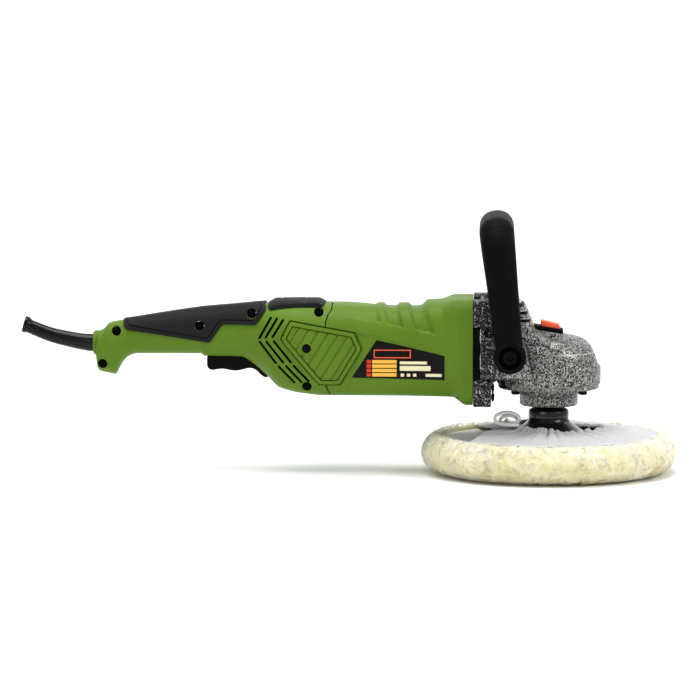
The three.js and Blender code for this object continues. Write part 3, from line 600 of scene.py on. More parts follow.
STRING = woven("string_cotton", (0.93, 0.92, 0.9), (0.8, 0.78, 0.75), 2600)
FOAM = moulded("grey_foam", (0.52, 0.51, 0.47), (0.66, 0.65, 0.62), 0.95, 1300, 0.5, 0, 0.1)


# ---- Body shells and motor housing ----

# Two soft creases run down the barrel's side: a raised band lies between them.
TOP_CREASE = [(-187.0, 137.8), (-146.6, 132.0), (-86.0, 119.2)]
LOW_CREASE = [(-166.0, 122.0), (-146.6, 119.4), (-86.0, 101.8)]
SIDE_PANEL = (-170.0, 71.0)  # where the recessed panel below the band starts, and its lower edge
FINGER_RIBS = [(-143.2, 3.4), (-123.4, 5.2)]  # middle and half width of each rib
SHOULDER_X = -108.0

COLLAR_LENGTH, COLLAR_TOP = 15.4, BODY[-1][2]
COLLAR_LEAN = 0.11  # how far the collar's rear edge leans forwards, for each millimetre down

# The seam between the handle shells and the motor housing, from bottom to top.
SEAM = [
    (-184.6, 50), (-185.2, 68), (-187.6, 73), (SEAM_X, 79), (SEAM_X, 131), (-187.2, 137),
    (-184.2, 140.5), (-183.6, 160),
]

# Where the six shell screws go in, in the side view.
SHELL_SCREWS = [
    (-368, 121), (-380, 93), (-297, 125.6), (-252.5, 136.5), (-195, 139), (-205, 76),
]
SCREW_DEPTH = 5.2  # how deep the shell screws' heads are sunk
SHELL_WALL = 2.8  # thickness of the shells
SLOT_WIDTH = 2.0
# Ventilation slots in the handle shells: lower end, then upper end.
SLOTS = [
    (-245.5, 116.6, -235.7, 133.7),
    (-239.9, 117.4, -230.4, 133.3),
    (-233.9, 118.0, -225.2, 132.2),
    (-225.3, 119.2, -220.3, 126.0),
    (-231.3, 96.1, -245.1, 113.3),
    (-224.8, 96.5, -239.2, 113.7),
    (-218.3, 96.9, -232.8, 114.4),
    (-215.6, 79.5, -228.7, 93.0),
    (-209.4, 79.9, -222.3, 93.5),
    (-203.4, 80.8, -215.9, 93.9),
]


def evenly(points, count):
    """Points at equal steps round a closed line, from its first point."""
    ends = points[1:] + points[:1]
    sizes = [math.dist(a, b) for a, b in zip(points, ends)]
    step = sum(sizes) / count
    result, i, passed = [], 0, 0.0
    for k in range(count):
        while passed + sizes[i] < k * step:
            passed += sizes[i]
            i += 1
        t = (k * step - passed) / sizes[i]
        result.append(tuple(a + (b - a) * t for a, b in zip(points[i], ends[i])))
    return result


def body_ring(x, grow, count, relief):
    """One section of the body as points (x, y, z), moved outwards by grow and by the relief."""
    low, high, half, power = section(x)
    a, b, middle = half + grow, (high - low) / 2 + grow, (low + high) / 2
    dense = []
    for k in range(4 * count):
        angle = math.pi * (k / (2 * count) - 0.5)
        c, s = math.cos(angle), math.sin(angle)
        r = (abs(c / a) ** power + abs(s / b) ** power) ** (-1 / power)
        dense.append((r * c, r * s))
    points = evenly(dense, count)
    ring = []
    for k, (y, z) in enumerate(points):
        before, after = points[k - 1], points[(k + 1) % count]
        run = Vector((after[1] - before[1], before[0] - after[0])).normalized()
        move = relief(x, z + middle) if relief else 0.0
        ring.append((x, y + run.x * move, z + middle + run.y * move))
    return ring


def body_loft(start, end, grow=0.0, relief=None, step=1.2, count=200):
    """The body between two places along the tool. The collar's rear edge leans forwards."""
    rings = []
    for x in spread(start, end, step):
        lean = COLLAR_LEAN * min(ease(-112, -92, x), max(0.0, (COLLAR_X - x) / COLLAR_LENGTH))
        ring = body_ring(x, grow, count, relief)
        rings.append([(px + lean * (COLLAR_TOP - pz), py, pz) for px, py, pz in ring])
    return loft("body", rings)


def barrel_relief(x, z):
    """Depth of the barrel's finger recess and side panel, as a negative height."""
    above = ease(-0.9, 0.9, z - line_at(TOP_CREASE, x))
    slanted = x + 0.3 * (z - 144)  # the ribs and the shoulder lean
    depth = 3.0 * ease(-176, -128, x) * (1 - ease(SHOULDER_X, SHOULDER_X + 5, slanted))
    ribs = 0.0
    for middle, half in FINGER_RIBS:
        ribs = max(ribs, 1 - ease(half - 1.6, half + 1.6, abs(slanted - middle)))
    panel_x, panel_z = SIDE_PANEL
    panel = 1 - ease(-0.8, 0.8, z - line_at(LOW_CREASE, x))
    panel *= ease(panel_x - 2, panel_x + 2, x) * ease(panel_z - 2, panel_z + 2, z)
    panel *= 1 - ease(-100, -96, x)
    return -above * depth * (1 - 0.85 * ribs) - 1.2 * panel


def handle_relief(x, z):
    """The raised lip over the trigger."""
    lip = ease(-296, -292, x) * (1 - ease(-250, -238, x)) * (1 - ease(103.5, 105, z))
    return 0.9 * lip


def slot_cutter(x0, z0, x1, z1, near, far):
    """A round-ended slot from one point of the side view to another, cut across the tool."""
    turn = math.atan2(z1 - z0, x1 - x0)
    outline = []
    for x, z, start in ((x1, z1, -0.5), (x0, z0, 0.5)):
        for k in range(7):
            angle = turn + math.pi * (start + k / 6)
            outline.append((x + SLOT_WIDTH / 2 * math.cos(angle), z + SLOT_WIDTH / 2 * math.sin(angle)))
    return prism(outline, near, far)


def behind_seam(clearance):
    """Everything behind the seam, as a cutting tool. The clearance moves its face backwards."""
    return prism([(x - clearance, z) for x, z in SEAM] + [(-420, 160), (-420, 50)], -60, 60)


def surface_band(start, end, low, high):
    """A band between two heights over the body's surface, for cutting grooves."""
    band = body_loft(start, end, high, None, 2, 120)
    return carved(band, body_loft(start - 1, end + 1, low, None, 2, 120))


def engraved(piece, outline, outer, inner, low, high):
    """Cuts a groove that follows an outline, between two distances outwards from its edge."""
    ring = prism(rounded(grown(outline, outer), 1.2), -60, 60)
    carved(ring, prism(rounded(grown(outline, inner), 1.2), -61, 61))
    start, end = min(x for x, _ in outline) - 4, max(x for x, _ in outline) + 4
    return carved(piece, combine(surface_band(start, end, low, high), ring, "INTERSECT"))


def grooved(piece):
    """A piece with a groove round the brush cover's edge, and a chamfer along the seam."""
    engraved(piece, COVER_OUTLINE, 1.0, -0.6, -1.9, 1.0)
    along = carved(behind_seam(-0.5), behind_seam(0.5))
    return carved(piece, combine(surface_band(-196, -178, -1.2, 1.0), along, "INTERSECT"))


def heel_collar():
    """The round collar where the cord guard comes out of the heel."""
    outline = [(0, -389.0), (9.0, -389.0), (10.1, -388.3), (10.6, -387.0), (10.6, -382), (0, -382)]
    return turned("collar", outline, "x", (0, 0, GUARD_Z))


def right_shell():
    """The right handle shell: its half of the skin, slots, screw holes and trigger opening."""
    shell = body_loft(BODY[0][0], -182, 0, handle_relief)
    joined(carved(shell, body_loft(-382, -181, -SHELL_WALL, None, 5, 80)), heel_collar())
    grooved(combine(shell, behind_seam(PARTING), "INTERSECT"))
    carved(shell, box((-420, -PARTING, 40), (-150, 80, 170)))
    carved(shell, *[slot_cutter(*slot, -60, -12) for slot in SLOTS])
    for x, z in SHELL_SCREWS:
        face = -half_width(x, z)
        carved(shell, rod("y", (x, z), face - 5, face + SCREW_DEPTH + 0.1, 4.1))
    trigger_slot = rounded([(-293.2, 60), (-238.5, 60), (-238.5, 108), (-293.2, 108)], 3)
    guard_hole = rod("x", (0, GUARD_Z), -400, -376, 7.9, 64)
    return carved(shell, prism(trigger_slot, -11, 11), guard_hole)


def motor_housing():
    """Barrel and collar in one moulding, with the finger recess over the barrel."""
    housing = body_loft(-190, COLLAR_X, 0, barrel_relief, 1.0)
    grooved(carved(housing, behind_seam(-PARTING)))
    joined(housing, rod("x", MOTOR, -205, -186, 14))
    stator_bore = rod("x", MOTOR, -180, -60, 33.9, 80)
    fan_bore = rod("x", MOTOR, -88, -60, 38, 80)
    bearing_seat = rod("x", MOTOR, -203.2, -170, 11.4)
    shaft_hole = rod("x", MOTOR, -210, -170, 8)
    carved(housing, stator_bore, fan_bore, bearing_seat, shaft_hole)
    return carved(housing, *[rod("x", place_at, -78, -60, 2.4) for place_at in FLANGE_SCREWS])


def air_guide():
    """A black liner behind the slots, which leads the cooling air over the brushes."""
    guide = body_loft(-247, -206, -3.4, None, 3, 120)
    hollow = body_loft(-243, -200, -5.0, None, 5, 80)
    return carved(guide, hollow, box((-260, -13, 60), (-236, 13, 112)))


# ---- Skins on the body: grips, pad, covers and labels ----

GRIP_OUTLINE = [
    (-362.3, 127), (-359, 122.8), (-288.2, 111.5), (-277.7, 127.5), (-249, 127.5),
    (-240.3, 141.3), (-243.5, 150), (-362.3, 150),
]
TOP_PAD_OUTLINE = [(-238.5, 141), (-200, 141), (-189.8, 145), (-191, 153), (-239, 153)]
COVER_OUTLINE = [
    (-226.5, 116.3), (-218.9, 131.3), (-165, 121.9), (-159, 108.6), (-177.2, 78.3),
    (-194.2, 78.3),
]
COVER_SCREW = (-205, 109)


def skin(outline, near, far, low, high, relief=None, step=1.0, count=220, under=None):
    """A skin inside an outline, between two heights over the body, with a relief on each face."""
    start = max(min(x for x, _ in outline) - 2, BODY[0][0])
    end = min(max(x for x, _ in outline) + 2, COLLAR_X)
    patch = body_loft(start, end, high, relief, step, count)
    carved(patch, body_loft(start - 1, end + 1, low, under, step, count))
    return combine(patch, prism(outline, near, far), "INTERSECT")


def grip():
    """Half of the rubber grip, with an inset line along its lower edge."""
    piece = skin(rounded(GRIP_OUTLINE, 1.8), -45, -PARTING, 0.3, 1.5)
    engraved(piece, GRIP_OUTLINE, -3.0, -3.9, 0.8, 2.5)
    return carved(piece, *[rod("y", place_at, -50, 0, 4.3) for place_at in SHELL_SCREWS])


def top_pad():
    """The thick rubber pad behind the barrel: its ends slope, and it is notched twice."""
    def relief(x, z):
        ends = min(x + 239.5, -189.5 - x)
        notch = min(abs(x + 228), abs(x + 207))
        lower = ease(0, 3.0, z - line_at([(-200, 141), (-190, 145)], x))
        fall = 2.6 * (1 - ease(0, 7, ends)) + 1.2 * (1 - lower)
        return -fall - 0.5 * (1 - ease(0.4, 1.0, notch)) * ease(143, 146, z)

    return skin(rounded(TOP_PAD_OUTLINE, 2.0), -24, 24, 0.3, 3.3, relief)


def brush_cover():
    """The cover over the right brush: a raised border round a panel of slanted ribs."""
    lean, pitch = math.radians(58), 7.7

    def relief(x, z):
        inside = ease(3.0, 3.7, edge_distance(COVER_OUTLINE, x, z))
        across = (x * math.sin(lean) - z * math.cos(lean)) % pitch
        slat = ease(0.0, 1.5, across) * (1 - 0.7 * ease(1.5, pitch, across))
        screw_boss = 1 - ease(5.0, 5.8, math.dist((x, z), COVER_SCREW))
        return -0.3 * inside - 1.5 * inside * (1 - slat) * (1 - screw_boss)

    cover = skin(rounded(COVER_OUTLINE, 1.6), -60, 0, 0.3, 2.3, relief, 0.5, 480)
    engraved(cover, COVER_OUTLINE, -3.1, -3.9, 0.6, 3.5)
    return carved(cover, rod("y", COVER_SCREW, -60, 0, 3.9))


# The rating label: its outline, and plain coloured bars where its print would be.
LABEL_OUTLINE = [(-145.9, 116.2), (-88.4, 103.2), (-88.4, 82.4), (-166.8, 84.1)]


def bar(x, z, length, height):
    """A plain rectangle of the side view, from its lower rear corner."""
    return [(x, z), (x + length, z), (x + length, z + height), (x, z + height)]


def label_marks():
    """Each mark's name, material, level over the barrel and outlines."""
    rows = [85.2 + 3.75 * k for k in range(4)]
    lines = [bar(-126.2, 95.8, 23, 2.4), bar(-126.2, 90.2, 26, 4.2), bar(-104.4, 85.2, 13.6, 2.6)]
    squares = [bar(-125.4 + 5.2 * k, 85.2, 2.8, 2.6) for k in range(3)]
    return [
        ("sheet", INKS["black"], 0.05, [LABEL_OUTLINE]),
        ("frame", ORANGE, 0.15, [bar(-148.3, 100.9, 31.4, 7.2)]),
        ("frame_inside", INKS["black"], 0.25, [bar(-147.4, 101.8, 29.6, 5.4)]),
        ("row_squares", INKS["red"], 0.15, [bar(-154.3, z, 3.8, 2.9) for z in rows]),
        ("row_bars", INKS["amber"], 0.15, [bar(-149.5, z, 20.6, 2.9) for z in rows]),
        ("blank_lines", INKS["cream"], 0.15, lines + squares),
    ]


def label_piece(outlines, level):
    """Thin skins on the barrel's side panel, joined into one piece."""
    top, relief = level + 0.1, barrel_relief
    return joined(*[skin(outline, -60, 0, level, top, relief, 1.5, 200, relief) for outline in outlines])


# ---- Screws ----

FLANGE_SCREWS = [(y, z) for y in (-35, 35) for z in (68, 142)]
BOX_SCREWS = [(x, y) for x in (-28.4, 28.4) for y in (-28.4, 28.4)]


def screw(head_r, head_h, shank_r, length, socket=False):
    """A screw standing on its tip: a domed cross head, or a cylinder with a hexagon socket."""
    if socket:
        outline = [(0, 0), (head_r, 0), (head_r, head_h - 0.4), (head_r - 0.5, head_h), (0, head_h)]
        tools = [rod("z", (0, 0), head_h - 4, head_h + 1, 3.7, 6)]
    else:
        edge = head_h * 0.45
        outline = [(0, 0), (head_r, 0), (head_r, edge)]
        for k in range(1, 9):
            angle = math.pi / 2 * k / 8
            outline.append((head_r * math.cos(angle), edge + (head_h - edge) * math.sin(angle)))
        arm, wide = head_r * 0.62, head_r * 0.15
        bars = ((arm, wide), (wide, arm))
        tools = [box((-a, -b, head_h * 0.25), (a, b, head_h + 1)) for a, b in bars]
    piece = joined(turned("screw", outline, sides=48), rod("z", (0, 0), -length, 0.2, shank_r, 24))
    return carved(piece, *tools)


def aimed(obj, direction, at):
    """Turns a piece's own Z to a direction and moves it to a place."""
    turn = Vector((0, 0, 1)).rotation_difference(Vector(direction)).to_matrix().to_4x4()
    obj.data.transform(Matrix.Translation(Vector(at)) @ turn)
    return obj


# ---- Controls ----

TRIGGER_OUTLINE = [
    (-291.3, 103.5), (-291.3, 90.4), (-289.5, 87.8), (-286.3, 87.1), (-278.5, 88.6),
    (-266.8, 86.2), (-254.7, 89.3), (-249.5, 87.7), (-245.2, 83), (-242.1, 81), (-239, 81.2),
    (-239, 103.5),
]
LOCK_ON = (-268, 113)
DIAL = (-374, 103)


def bevelled(obj, width, segments=3, angle=40):
    """Rounds the edges that turn by more than an angle."""
    bevel = obj.modifiers.new("bevel", "BEVEL")
    bevel.width = width
    bevel.segments = segments
    bevel.limit_method = "ANGLE"
    bevel.angle_limit = math.radians(angle)
    return settle(obj)


def trigger():
    """The finger lever, its front face waved for two fingers and its edges rounded."""
    return bevelled(prism(rounded(TRIGGER_OUTLINE, 5, 8), -10.5, 10.5), 1.6, 4, 50)


def lock_on_button():
    """A round button with a dished face and a collar that keeps it in the shell."""
    outline = [(0, 12), (6.6, 12), (6.6, 14), (4.9, 14), (4.9, 22.9), (4.3, 23.6), (0, 23.6)]
    dish = [(0, 23.0), (3.0, 23.4), (3.4, 24.5), (0, 24.5)]
    button = carved(turned("button", outline, "y"), turned("dish", dish, "y"))
    return moved(button, LOCK_ON[0], 0, LOCK_ON[1])


def speed_dial():
    """A knurled wheel with a pointer groove and six raised marks."""
    outline, knurls, steps = [], 30, 120
    for k in range(steps):
        angle = 2 * math.pi * k / steps
        r = 8.7 - 0.45 * (0.5 + 0.5 * math.cos(knurls * angle))
        outline.append((r * math.cos(angle), r * math.sin(angle)))
    wheel = bevelled(prism(outline, 13.3, 18.2), 0.35, 2, 60)
    joined(wheel, rod("y", (0, 0), 8, 13.5, 2.2))
    carved(wheel, box((-1, 17, 1), (1, 20, 7)))
    for k in range(1, 6):
        angle = math.pi / 2 + k * math.radians(52)
        dot = (5.6 * math.cos(angle), 5.6 * math.sin(angle))
        joined(wheel, rod("y", dot, 18, 18.45, 0.6, 16))
    return moved(wheel, DIAL[0], 0, DIAL[1])


# ---- Cord guard ----

# Place along the tool, height and radius, from its end lip to the shell.
GUARD = [
    (-448.6, 125.4, 6.6),
    (-448.0, 125.2, 7.1),
    (-446.0, 124.3, 7.0),
    (-444.4, 123.6, 6.3),
    (-442.6, 122.8, 5.9),
    (-424.6, 115.9, 6.3),
    (-404.0, 111.2, 6.9),
    (-395.0, 109.9, 7.3),
    (-391.0, GUARD_Z, 7.6),
    (-384.0, GUARD_Z, 7.6),
]


def sleeve(stations, sides=56):
    """A round body along a curve in the side view, its rings square to the curve."""
    rings = []
    for i, (x, z, r) in enumerate(stations):
        ax, az, _ = stations[max(0, i - 1)]
        bx, bz, _ = stations[min(len(stations) - 1, i + 1)]
        tilt = math.atan2(bz - az, bx - ax)
        ring = []
        for a, b in superellipse(r, r, 2, sides):
            ring.append((x - a * math.sin(tilt), b, z + a * math.cos(tilt)))
        rings.append(ring)
    return loft("sleeve", rings)


def cord_guard():
    """The bent rubber sleeve, which narrows from the heel to a lip at its open end."""
    smooth, bore_r = passed_through(GUARD, 6), 4.5
    bore = [(x, z, bore_r) for x, z, _ in smooth]
    bore = [(-453, 127.3, bore_r)] + bore + [(-380, GUARD_Z, bore_r)]
    return carved(sleeve(smooth), sleeve(bore, 40))


# ---- Gear head ----

HEAD_X = -64.3  # rear face of the flange
LUG_X = -49.0  # front face of the flange's lugs
HEAD_FLOOR = 76.5  # where the casting meets the bearing box
LOUVRES = (132.6, 139.0, 145.2)  # their heights
LOUVRE_H = 2.8
LOCK_PIN = (0.85, -12.4)
BUTTON_HOLE = (-7.5, -19.7, 112), (9.2, -5.1, 140)
# Side view of the drum's lower wall: its ledge falls towards the front.
WALL = [
    (-46, 76.5), (46, 76.5), (46, 91), (31.5, 95.6), (4.5, 103.6), (1.0, 106.0), (-3.0, 110.2),
    (-7.0, 111.4), (-46, 111.4),
]
# Side view of the raised pads under the D-handle's bosses.
SIDE_PAD = [(-54, 84), (-14, 84), (-19.6, 107.7), (-22, 117), (-54, 119)]
HEAD_PROFILE = [
    (42.4, 76.5), (43.9, 77.6), (44.4, 86.0), (43.0, 90.5), (41.5, 94.0), (40.3, 98.4),
    (38.9, 102.4), (37.3, 106.0), (35.4, 109.2), (33.0, 112.0), (29.8, 114.3), (25.6, 116.0),
    (20.0, 117.4), (13.0, 118.7), (6.0, 119.4), (0, 119.5),
]


def head_flange():
    """The square flange: a plate with a thick lug at each corner."""
    low, high = MOTOR_Z - 44, MOTOR_Z + 44
    plate = prism(rounded([(-44, low), (44, low), (44, high), (-44, high)], 6), -58.2, -54, "x")
    for y in (-1, 1):
        for z in (-1, 1):
            ys, zs = sorted((22 * y, 45 * y)), sorted((MOTOR_Z + 22 * z, MOTOR_Z + 45 * z))
            lug = [(ys[0], zs[0]), (ys[1], zs[0]), (ys[1], zs[1]), (ys[0], zs[1])]
            joined(plate, prism(rounded(lug, 4), HEAD_X, LUG_X, "x"))
    return plate


def head_neck(inset=0.0):
    """The duct from the flange, its front sloping down to the drum. The inset draws its skin in."""
    rings = []
    for x, low, high, half in (
        (-56, 70, 147.5, 40),
        (-50, 76, 147.4, 39),
        (-44, 80, 147.3, 38),
        (-34, 80, 147.8, 37),
        (-25, 80, 147.6, 36),
        (-21, 80, 144.9, 36),
        (-18, 80, 139.0, 36),
        (-15, 80, 131.0, 36),
        (-12, 80, 124.5, 36),
        (0, 80, 119.0, 36),
    ):
        points = superellipse(half - inset, (high - low - inset) / 2, 5, 96)
        rings.append([(x - inset, y, z + (low + high - inset) / 2) for y, z in points])
    return loft("neck", rings)


def gear_housing():
    """The casting: flange, neck, drum and pads melted into one skin, then machined."""
    drum = turned("drum", HEAD_PROFILE + [(0, HEAD_FLOOR)], sides=120)
    button_boss = prism([(-12.5, 98), (11.2, 98), (11.2, 123.5), (-12.5, 127.3)], -21.9, -2.9)
    pivot_boss = rod("y", (PIVOT.x, PIVOT.z), -47.2, 47.2, 13.4, 64)
    body = remeshed(joined(head_flange(), head_neck(), drum, button_boss, pivot_boss), 0.7, 2)
    wall = combine(rod("z", (0, 0), HEAD_FLOOR, 112, 44.2, 120), prism(WALL, -46, 46), "INTERSECT")
    joined(body, bevelled(wall, 0.6, 2), bevelled(prism(SIDE_PAD, -45, 45), 0.8, 2))
    cuts = [
        rod("z", (0, 0), 70, 103.5, 37.8, 80),  # gear chamber
        rod("x", MOTOR, -70, -53.9, 31, 80),  # air way
        rod("x", MOTOR, -60, -44.7, 16.5),  # front bearing
        rod("x", MOTOR, -50, -21, 10.4),  # armature shaft
        rod("z", (0, 0), 100, 110, 5.5),  # spindle's upper end
        box((-60, -28, 122), (-27, 28, 143.5)),  # duct to the louvres
        box(*BUTTON_HOLE),
        rod("z", LOCK_PIN, 90, 120, 2.8),
        box((-80, -60, 50), (HEAD_X, 60, 160)),
        box((-48, -60, 50), (60, 60, HEAD_FLOOR)),
    ]
    cuts += louvres(LOUVRE_H, -26.5)
    for y, z in FLANGE_SCREWS:
        ys = sorted((math.copysign(29.5, y), math.copysign(52, y)))
        cuts.append(box((LUG_X, ys[0], z - 5.5), (-40, ys[1], z + 5.5)))
        cuts.append(rod("x", (y, z), -70, -45, 2.4))
    cuts += [rod("y", (PIVOT.x, PIVOT.z), near, far, 4.4) for near, far in ((-50, -35), (35, 50))]
    cuts += [rod("z", place_at, 70, 87, 2.2) for place_at in BOX_SCREWS]
    return carved(body, *cuts)


def louvres(height, rear):
    """The head's three louvres as bars across it."""
    half = height / 2
    return [box((rear, -40, z - half), (0, 40, z + half)) for z in LOUVRES]


def louvre_bars():
    """Black bars set back in the head's three louvres, standing in for the shade inside them, so that no
    light comes through.
    """
    return combine(joined(*louvres(LOUVRE_H - 0.1, -26.4)), head_neck(0.5), "INTERSECT")


def fan_baffle():
    """The cross-shaped plate between fan and head, with the fan's opening."""
    sizes = ((41, 21.6), (21.6, 41))
    arms = [box((HEAD_X, -y, MOTOR_Z - z), (-58.6, y, MOTOR_Z + z)) for y, z in sizes]
    return carved(bevelled(joined(*arms), 0.8, 2), rod("x", MOTOR, -70, -50, 29, 80))


def bearing_box():
    """The cover under the gear chamber, with the neck that holds the spindle's bearing."""
    top = 76.2
    outline = [
        (10.6, 57.7),
        (23.6, 57.7),
        (24.85, 58.9),
        (24.85, 66.6),
        (25.2, 67.2),
        (25.6, 67.6),
        (25.6, top - 4.2),
        (26.6, top - 3.8),
        (42.2, top - 3.8),
        (43, top - 3.0),
        (43, top),
        (20.4, top),
        (20.4, 60.5),
        (10.6, 60.5),
    ]
    cover = turned("cover", outline, sides=120)
    return carved(cover, *[rod("z", place_at, 69, 80, 2.2) for place_at in BOX_SCREWS])


def deflector_and_shade():
    """A black foot under the gear case, taken for an air deflector, that also stands in for the shade
    under the case's overhang.
    """
    outline = rounded([(-41, 80), (-25, 80), (-27, 72.9), (-33, 72.6), (-40, 75.0)], 1.0)
    return bevelled(prism(outline, -24, 24), 0.8, 2)


def button_bezel():
    """The black frame that the lock button comes up through."""
    frame_side = [(-13.0, 124.0), (11.8, 120.0), (11.8, 123.9), (-13.0, 127.9)]
    return carved(bevelled(prism(frame_side, -22.4, -2.4), 0.7, 2), box(*BUTTON_HOLE))


def lock_spring():
    """The coil round the lock pin, from the pocket's floor to the cap's ceiling."""
    turns, per_turn, radius, wire, low, height = 5, 28, 4.2, 0.5, 112.8, 12.4
    rings = []
    for k in range(turns * per_turn + 1):
        angle = 2 * math.pi * k / per_turn
        out = Vector((math.cos(angle), math.sin(angle), 0))
        middle = Vector((*LOCK_PIN, low + height * k / (turns * per_turn))) + out * radius
        circle = superellipse(wire, wire, 2, 10)
        rings.append([middle + out * a + Vector((0, 0, b)) for a, b in circle])
    return loft("spring", rings)


def lock_button():
    """The spindle lock's sloped cap."""
    cap = [(-8, 117), (8, 117), (8, 128), (-8, 131.9)]
    button = bevelled(prism(rounded(cap, 1.2), -7, 7), 1.4, 4, 50)
    spring_room = rod("z", (0, 0), 110, 126, 5.5)
    pin_hole = rod("z", (0, 0), 120, 127.6, 2.8)
    return moved(carved(button, spring_room, pin_hole), *LOCK_PIN, 0)


# ---- D-handle ----

# Half of the bow about its pivot: across, up, half thickness along the tool and across the bow.
BOW = [
    (56.6, -6, 11, 8),
    (56.6, 12, 11.6, 8.5),
    (56.6, 30, 12.2, 9),
    (57, 60, 13.2, 10.5),
    (57.4, 78, 13.9, 12.4),
    (54.6, 91, 14.4, 13.8),
    (47, 99.9, 14.7, 14.6),
    (36, 103, 14.8, 14.8),
]


def passed_through(points, steps):
    """A smooth line through points of any size, with so many steps between each two."""
    result = []
    last = len(points) - 1
    for i in range(last):
        a, b, c, d = points[max(0, i - 1)], points[i], points[i + 1], points[min(last, i + 2)]
        for k in range(steps):
            t = k / steps
            row = []
            for p, q, r, s in zip(a, b, c, d):
                square, cube = 2 * p - 5 * q + 4 * r - s, 3 * q - p - 3 * r + s
                row.append(0.5 * (2 * q + (r - p) * t + square * t**2 + cube * t**3))
            result.append(row)
    result.append(list(points[-1]))
    return result


def both_ends(near, far, radius, sides):
    """A cylinder on each side of the tool, along the D-handle's pivot line."""
    spans = [sorted((near * side, far * side)) for side in (-1, 1)]
    return [rod("y", (0, 0), low, high, radius, sides) for low, high in spans]


def d_handle():
    """The bow with its two bosses, melted together so that the arms flow into the bosses."""
    far = [(-y, z, thick, half) for y, z, thick, half in reversed(BOW)]
    stations = passed_through(BOW + far, 7)
    rings = []
    for i, (y, z, thick, half) in enumerate(stations):
        ahead, back = stations[min(len(stations) - 1, i + 1)], stations[max(0, i - 1)]
        along = Vector((ahead[0] - back[0], ahead[1] - back[1])).normalized()
        ring = []
        for a, b in superellipse(thick, half, 2.25, 64):
            ring.append((a, y + b * along.y, z - b * along.x))
        rings.append(ring)
    body = loft("bow", rings)
    joined(body, *both_ends(47.5, 66, 13.6, 72))
    body = remeshed(body, 0.8, 4)
    carved(body, box((-30, -47.5, -30), (30, 47.5, 40)))
    carved(body, *both_ends(58, 80, 9.8, 72), *both_ends(40, 70, 4.4, 40))
    body.data.transform(Matrix.Translation(PIVOT) @ Matrix.Rotation(HANDLE_LEAN, 4, "Y"))
    return body


# ---- Backing plate, pad and bonnet ----

PLATE_R = 46.0
NECK_R = 17.3
FOAM_R = 88.0
FOAM_TOP = 29.0
SKIRT_R = 92.8
OPENING = (9.5, 36.5, 30.0)  # the skirt's opening: its centre along X, and its half sizes


def neck_height(r):
    """Height of the plate's flared neck over its flange."""
    return 31 + 13.5 * max(0.0, (PLATE_R - r) / (PLATE_R - NECK_R)) ** 1.9


def backing_plate():
    """The moulded plate: a flange in the foam, a flared neck and a rim round the thread."""
    outline = [(0.0, 26.3), (PLATE_R - 0.8, 26.3), (PLATE_R, 27.1)]
    for r in spread(PLATE_R, NECK_R + 0.8, 1.5):
        outline.append((r, neck_height(r)))
    outline += [(NECK_R + 0.3, 45.2), (NECK_R - 0.6, 46.6), (NECK_R, 47.4), (NECK_R, 52.6)]
    # The rim's top is domed, up to the spindle's shoulder.
    outline += [(NECK_R - 0.5, 53.6), (NECK_R - 2.4, 54.7), (12.6, 55.8), (11.2, 56.1), (10.3, 56.1)]
    outline += [(10.3, 52), (7.1, 52), (7.1, 34), (0.0, 34)]
    return turned("plate", outline, sides=120)


def foam_pad():
    """Open-celled foam: a dense disc with a finely pitted edge."""
    rows = [(0.001, 14.0)]
    rows += [(r, 14.0) for r in spread(12, FOAM_R - 1.5, 9)]
    rows += [(FOAM_R, 15.5)] + [(FOAM_R, z) for z in spread(17, 25.5, 1.5)]
    rows += [(r, FOAM_TOP - 3 * max(0.0, (r - 85) / 3) ** 1.5) for r in (87.5, 86.5, 85)]
    rows += [(r, FOAM_TOP) for r in spread(83.5, PLATE_R + 0.3, 1.6)]
    rows += [(PLATE_R + 0.3, 26.0), (30.0, 26.0), (0.001, 26.0)]
    rings = []
    for _, c, s in directions(360):
        ring = []
        for r, z in rows:
            pit = 0.35 * abs(noise.noise(Vector((r * c, r * s, z)) * 0.55))
            sink = pit if 50 < r and z > 14.5 else 0.0
            drawn_in = r * (1 - sink / max(r, 1))
            ring.append((drawn_in * c, drawn_in * s, z - sink))
        rings.append(ring)
    return loft("foam", rings, capped=False)


FACE_Z = 0.7  # height of the wool's polishing face without its pile
# The wool's outline from the pad's edge over its roll and down to the polishing face.
WOOL = [
    (88.3, 28.4), (92.2, 29.6), (91.2, 31.4), (93.4, 32.9), (97.5, 32.9), (101.5, 30.8),
    (105.2, 26.4), (107.4, 21.0), (107.9, 16.0), (106.2, 9.6), (101.5, 4.6), (95.0, 1.8),
    (86.0, FACE_Z),
]


def wool_bonnet():
    """Lambswool over the pad's face and edge: a lumpy fleece set with thousands of small tufts."""
    profile = []
    for before, after in zip(WOOL, WOOL[1:]):
        steps = spread(0, math.dist(before, after), 1.8)
        profile += [Vector(before).lerp(Vector(after), step / steps[-1]) for step in steps[:-1]]
    profile += [(r, FACE_Z) for r in spread(86.0, 4.0, 5.0)] + [(0.001, FACE_Z)]
    inside = [(0.001, 13.7), (88.3, 13.7)]
    rings = []
    for angle, c, s in directions(360):
        ring = []
        for i, (r, z) in enumerate(profile + inside):
            at = Vector((r * c, r * s, z))
            if 0 < i < len(profile) - 1 and r > 60:
                side, up = ease(88, 100, r), ease(18, 30, z) - 0.6 * ease(16, 2, z)
                at += Vector((c * side, s * side, up)) * wool_height(at, angle)
            ring.append((at.x, at.y, max(at.z, 0.3)))
        rings.append(ring)
    fleece = loft("wool", rings, capped=False)
    return combine_loose(fleece, wool_tufts(13000))


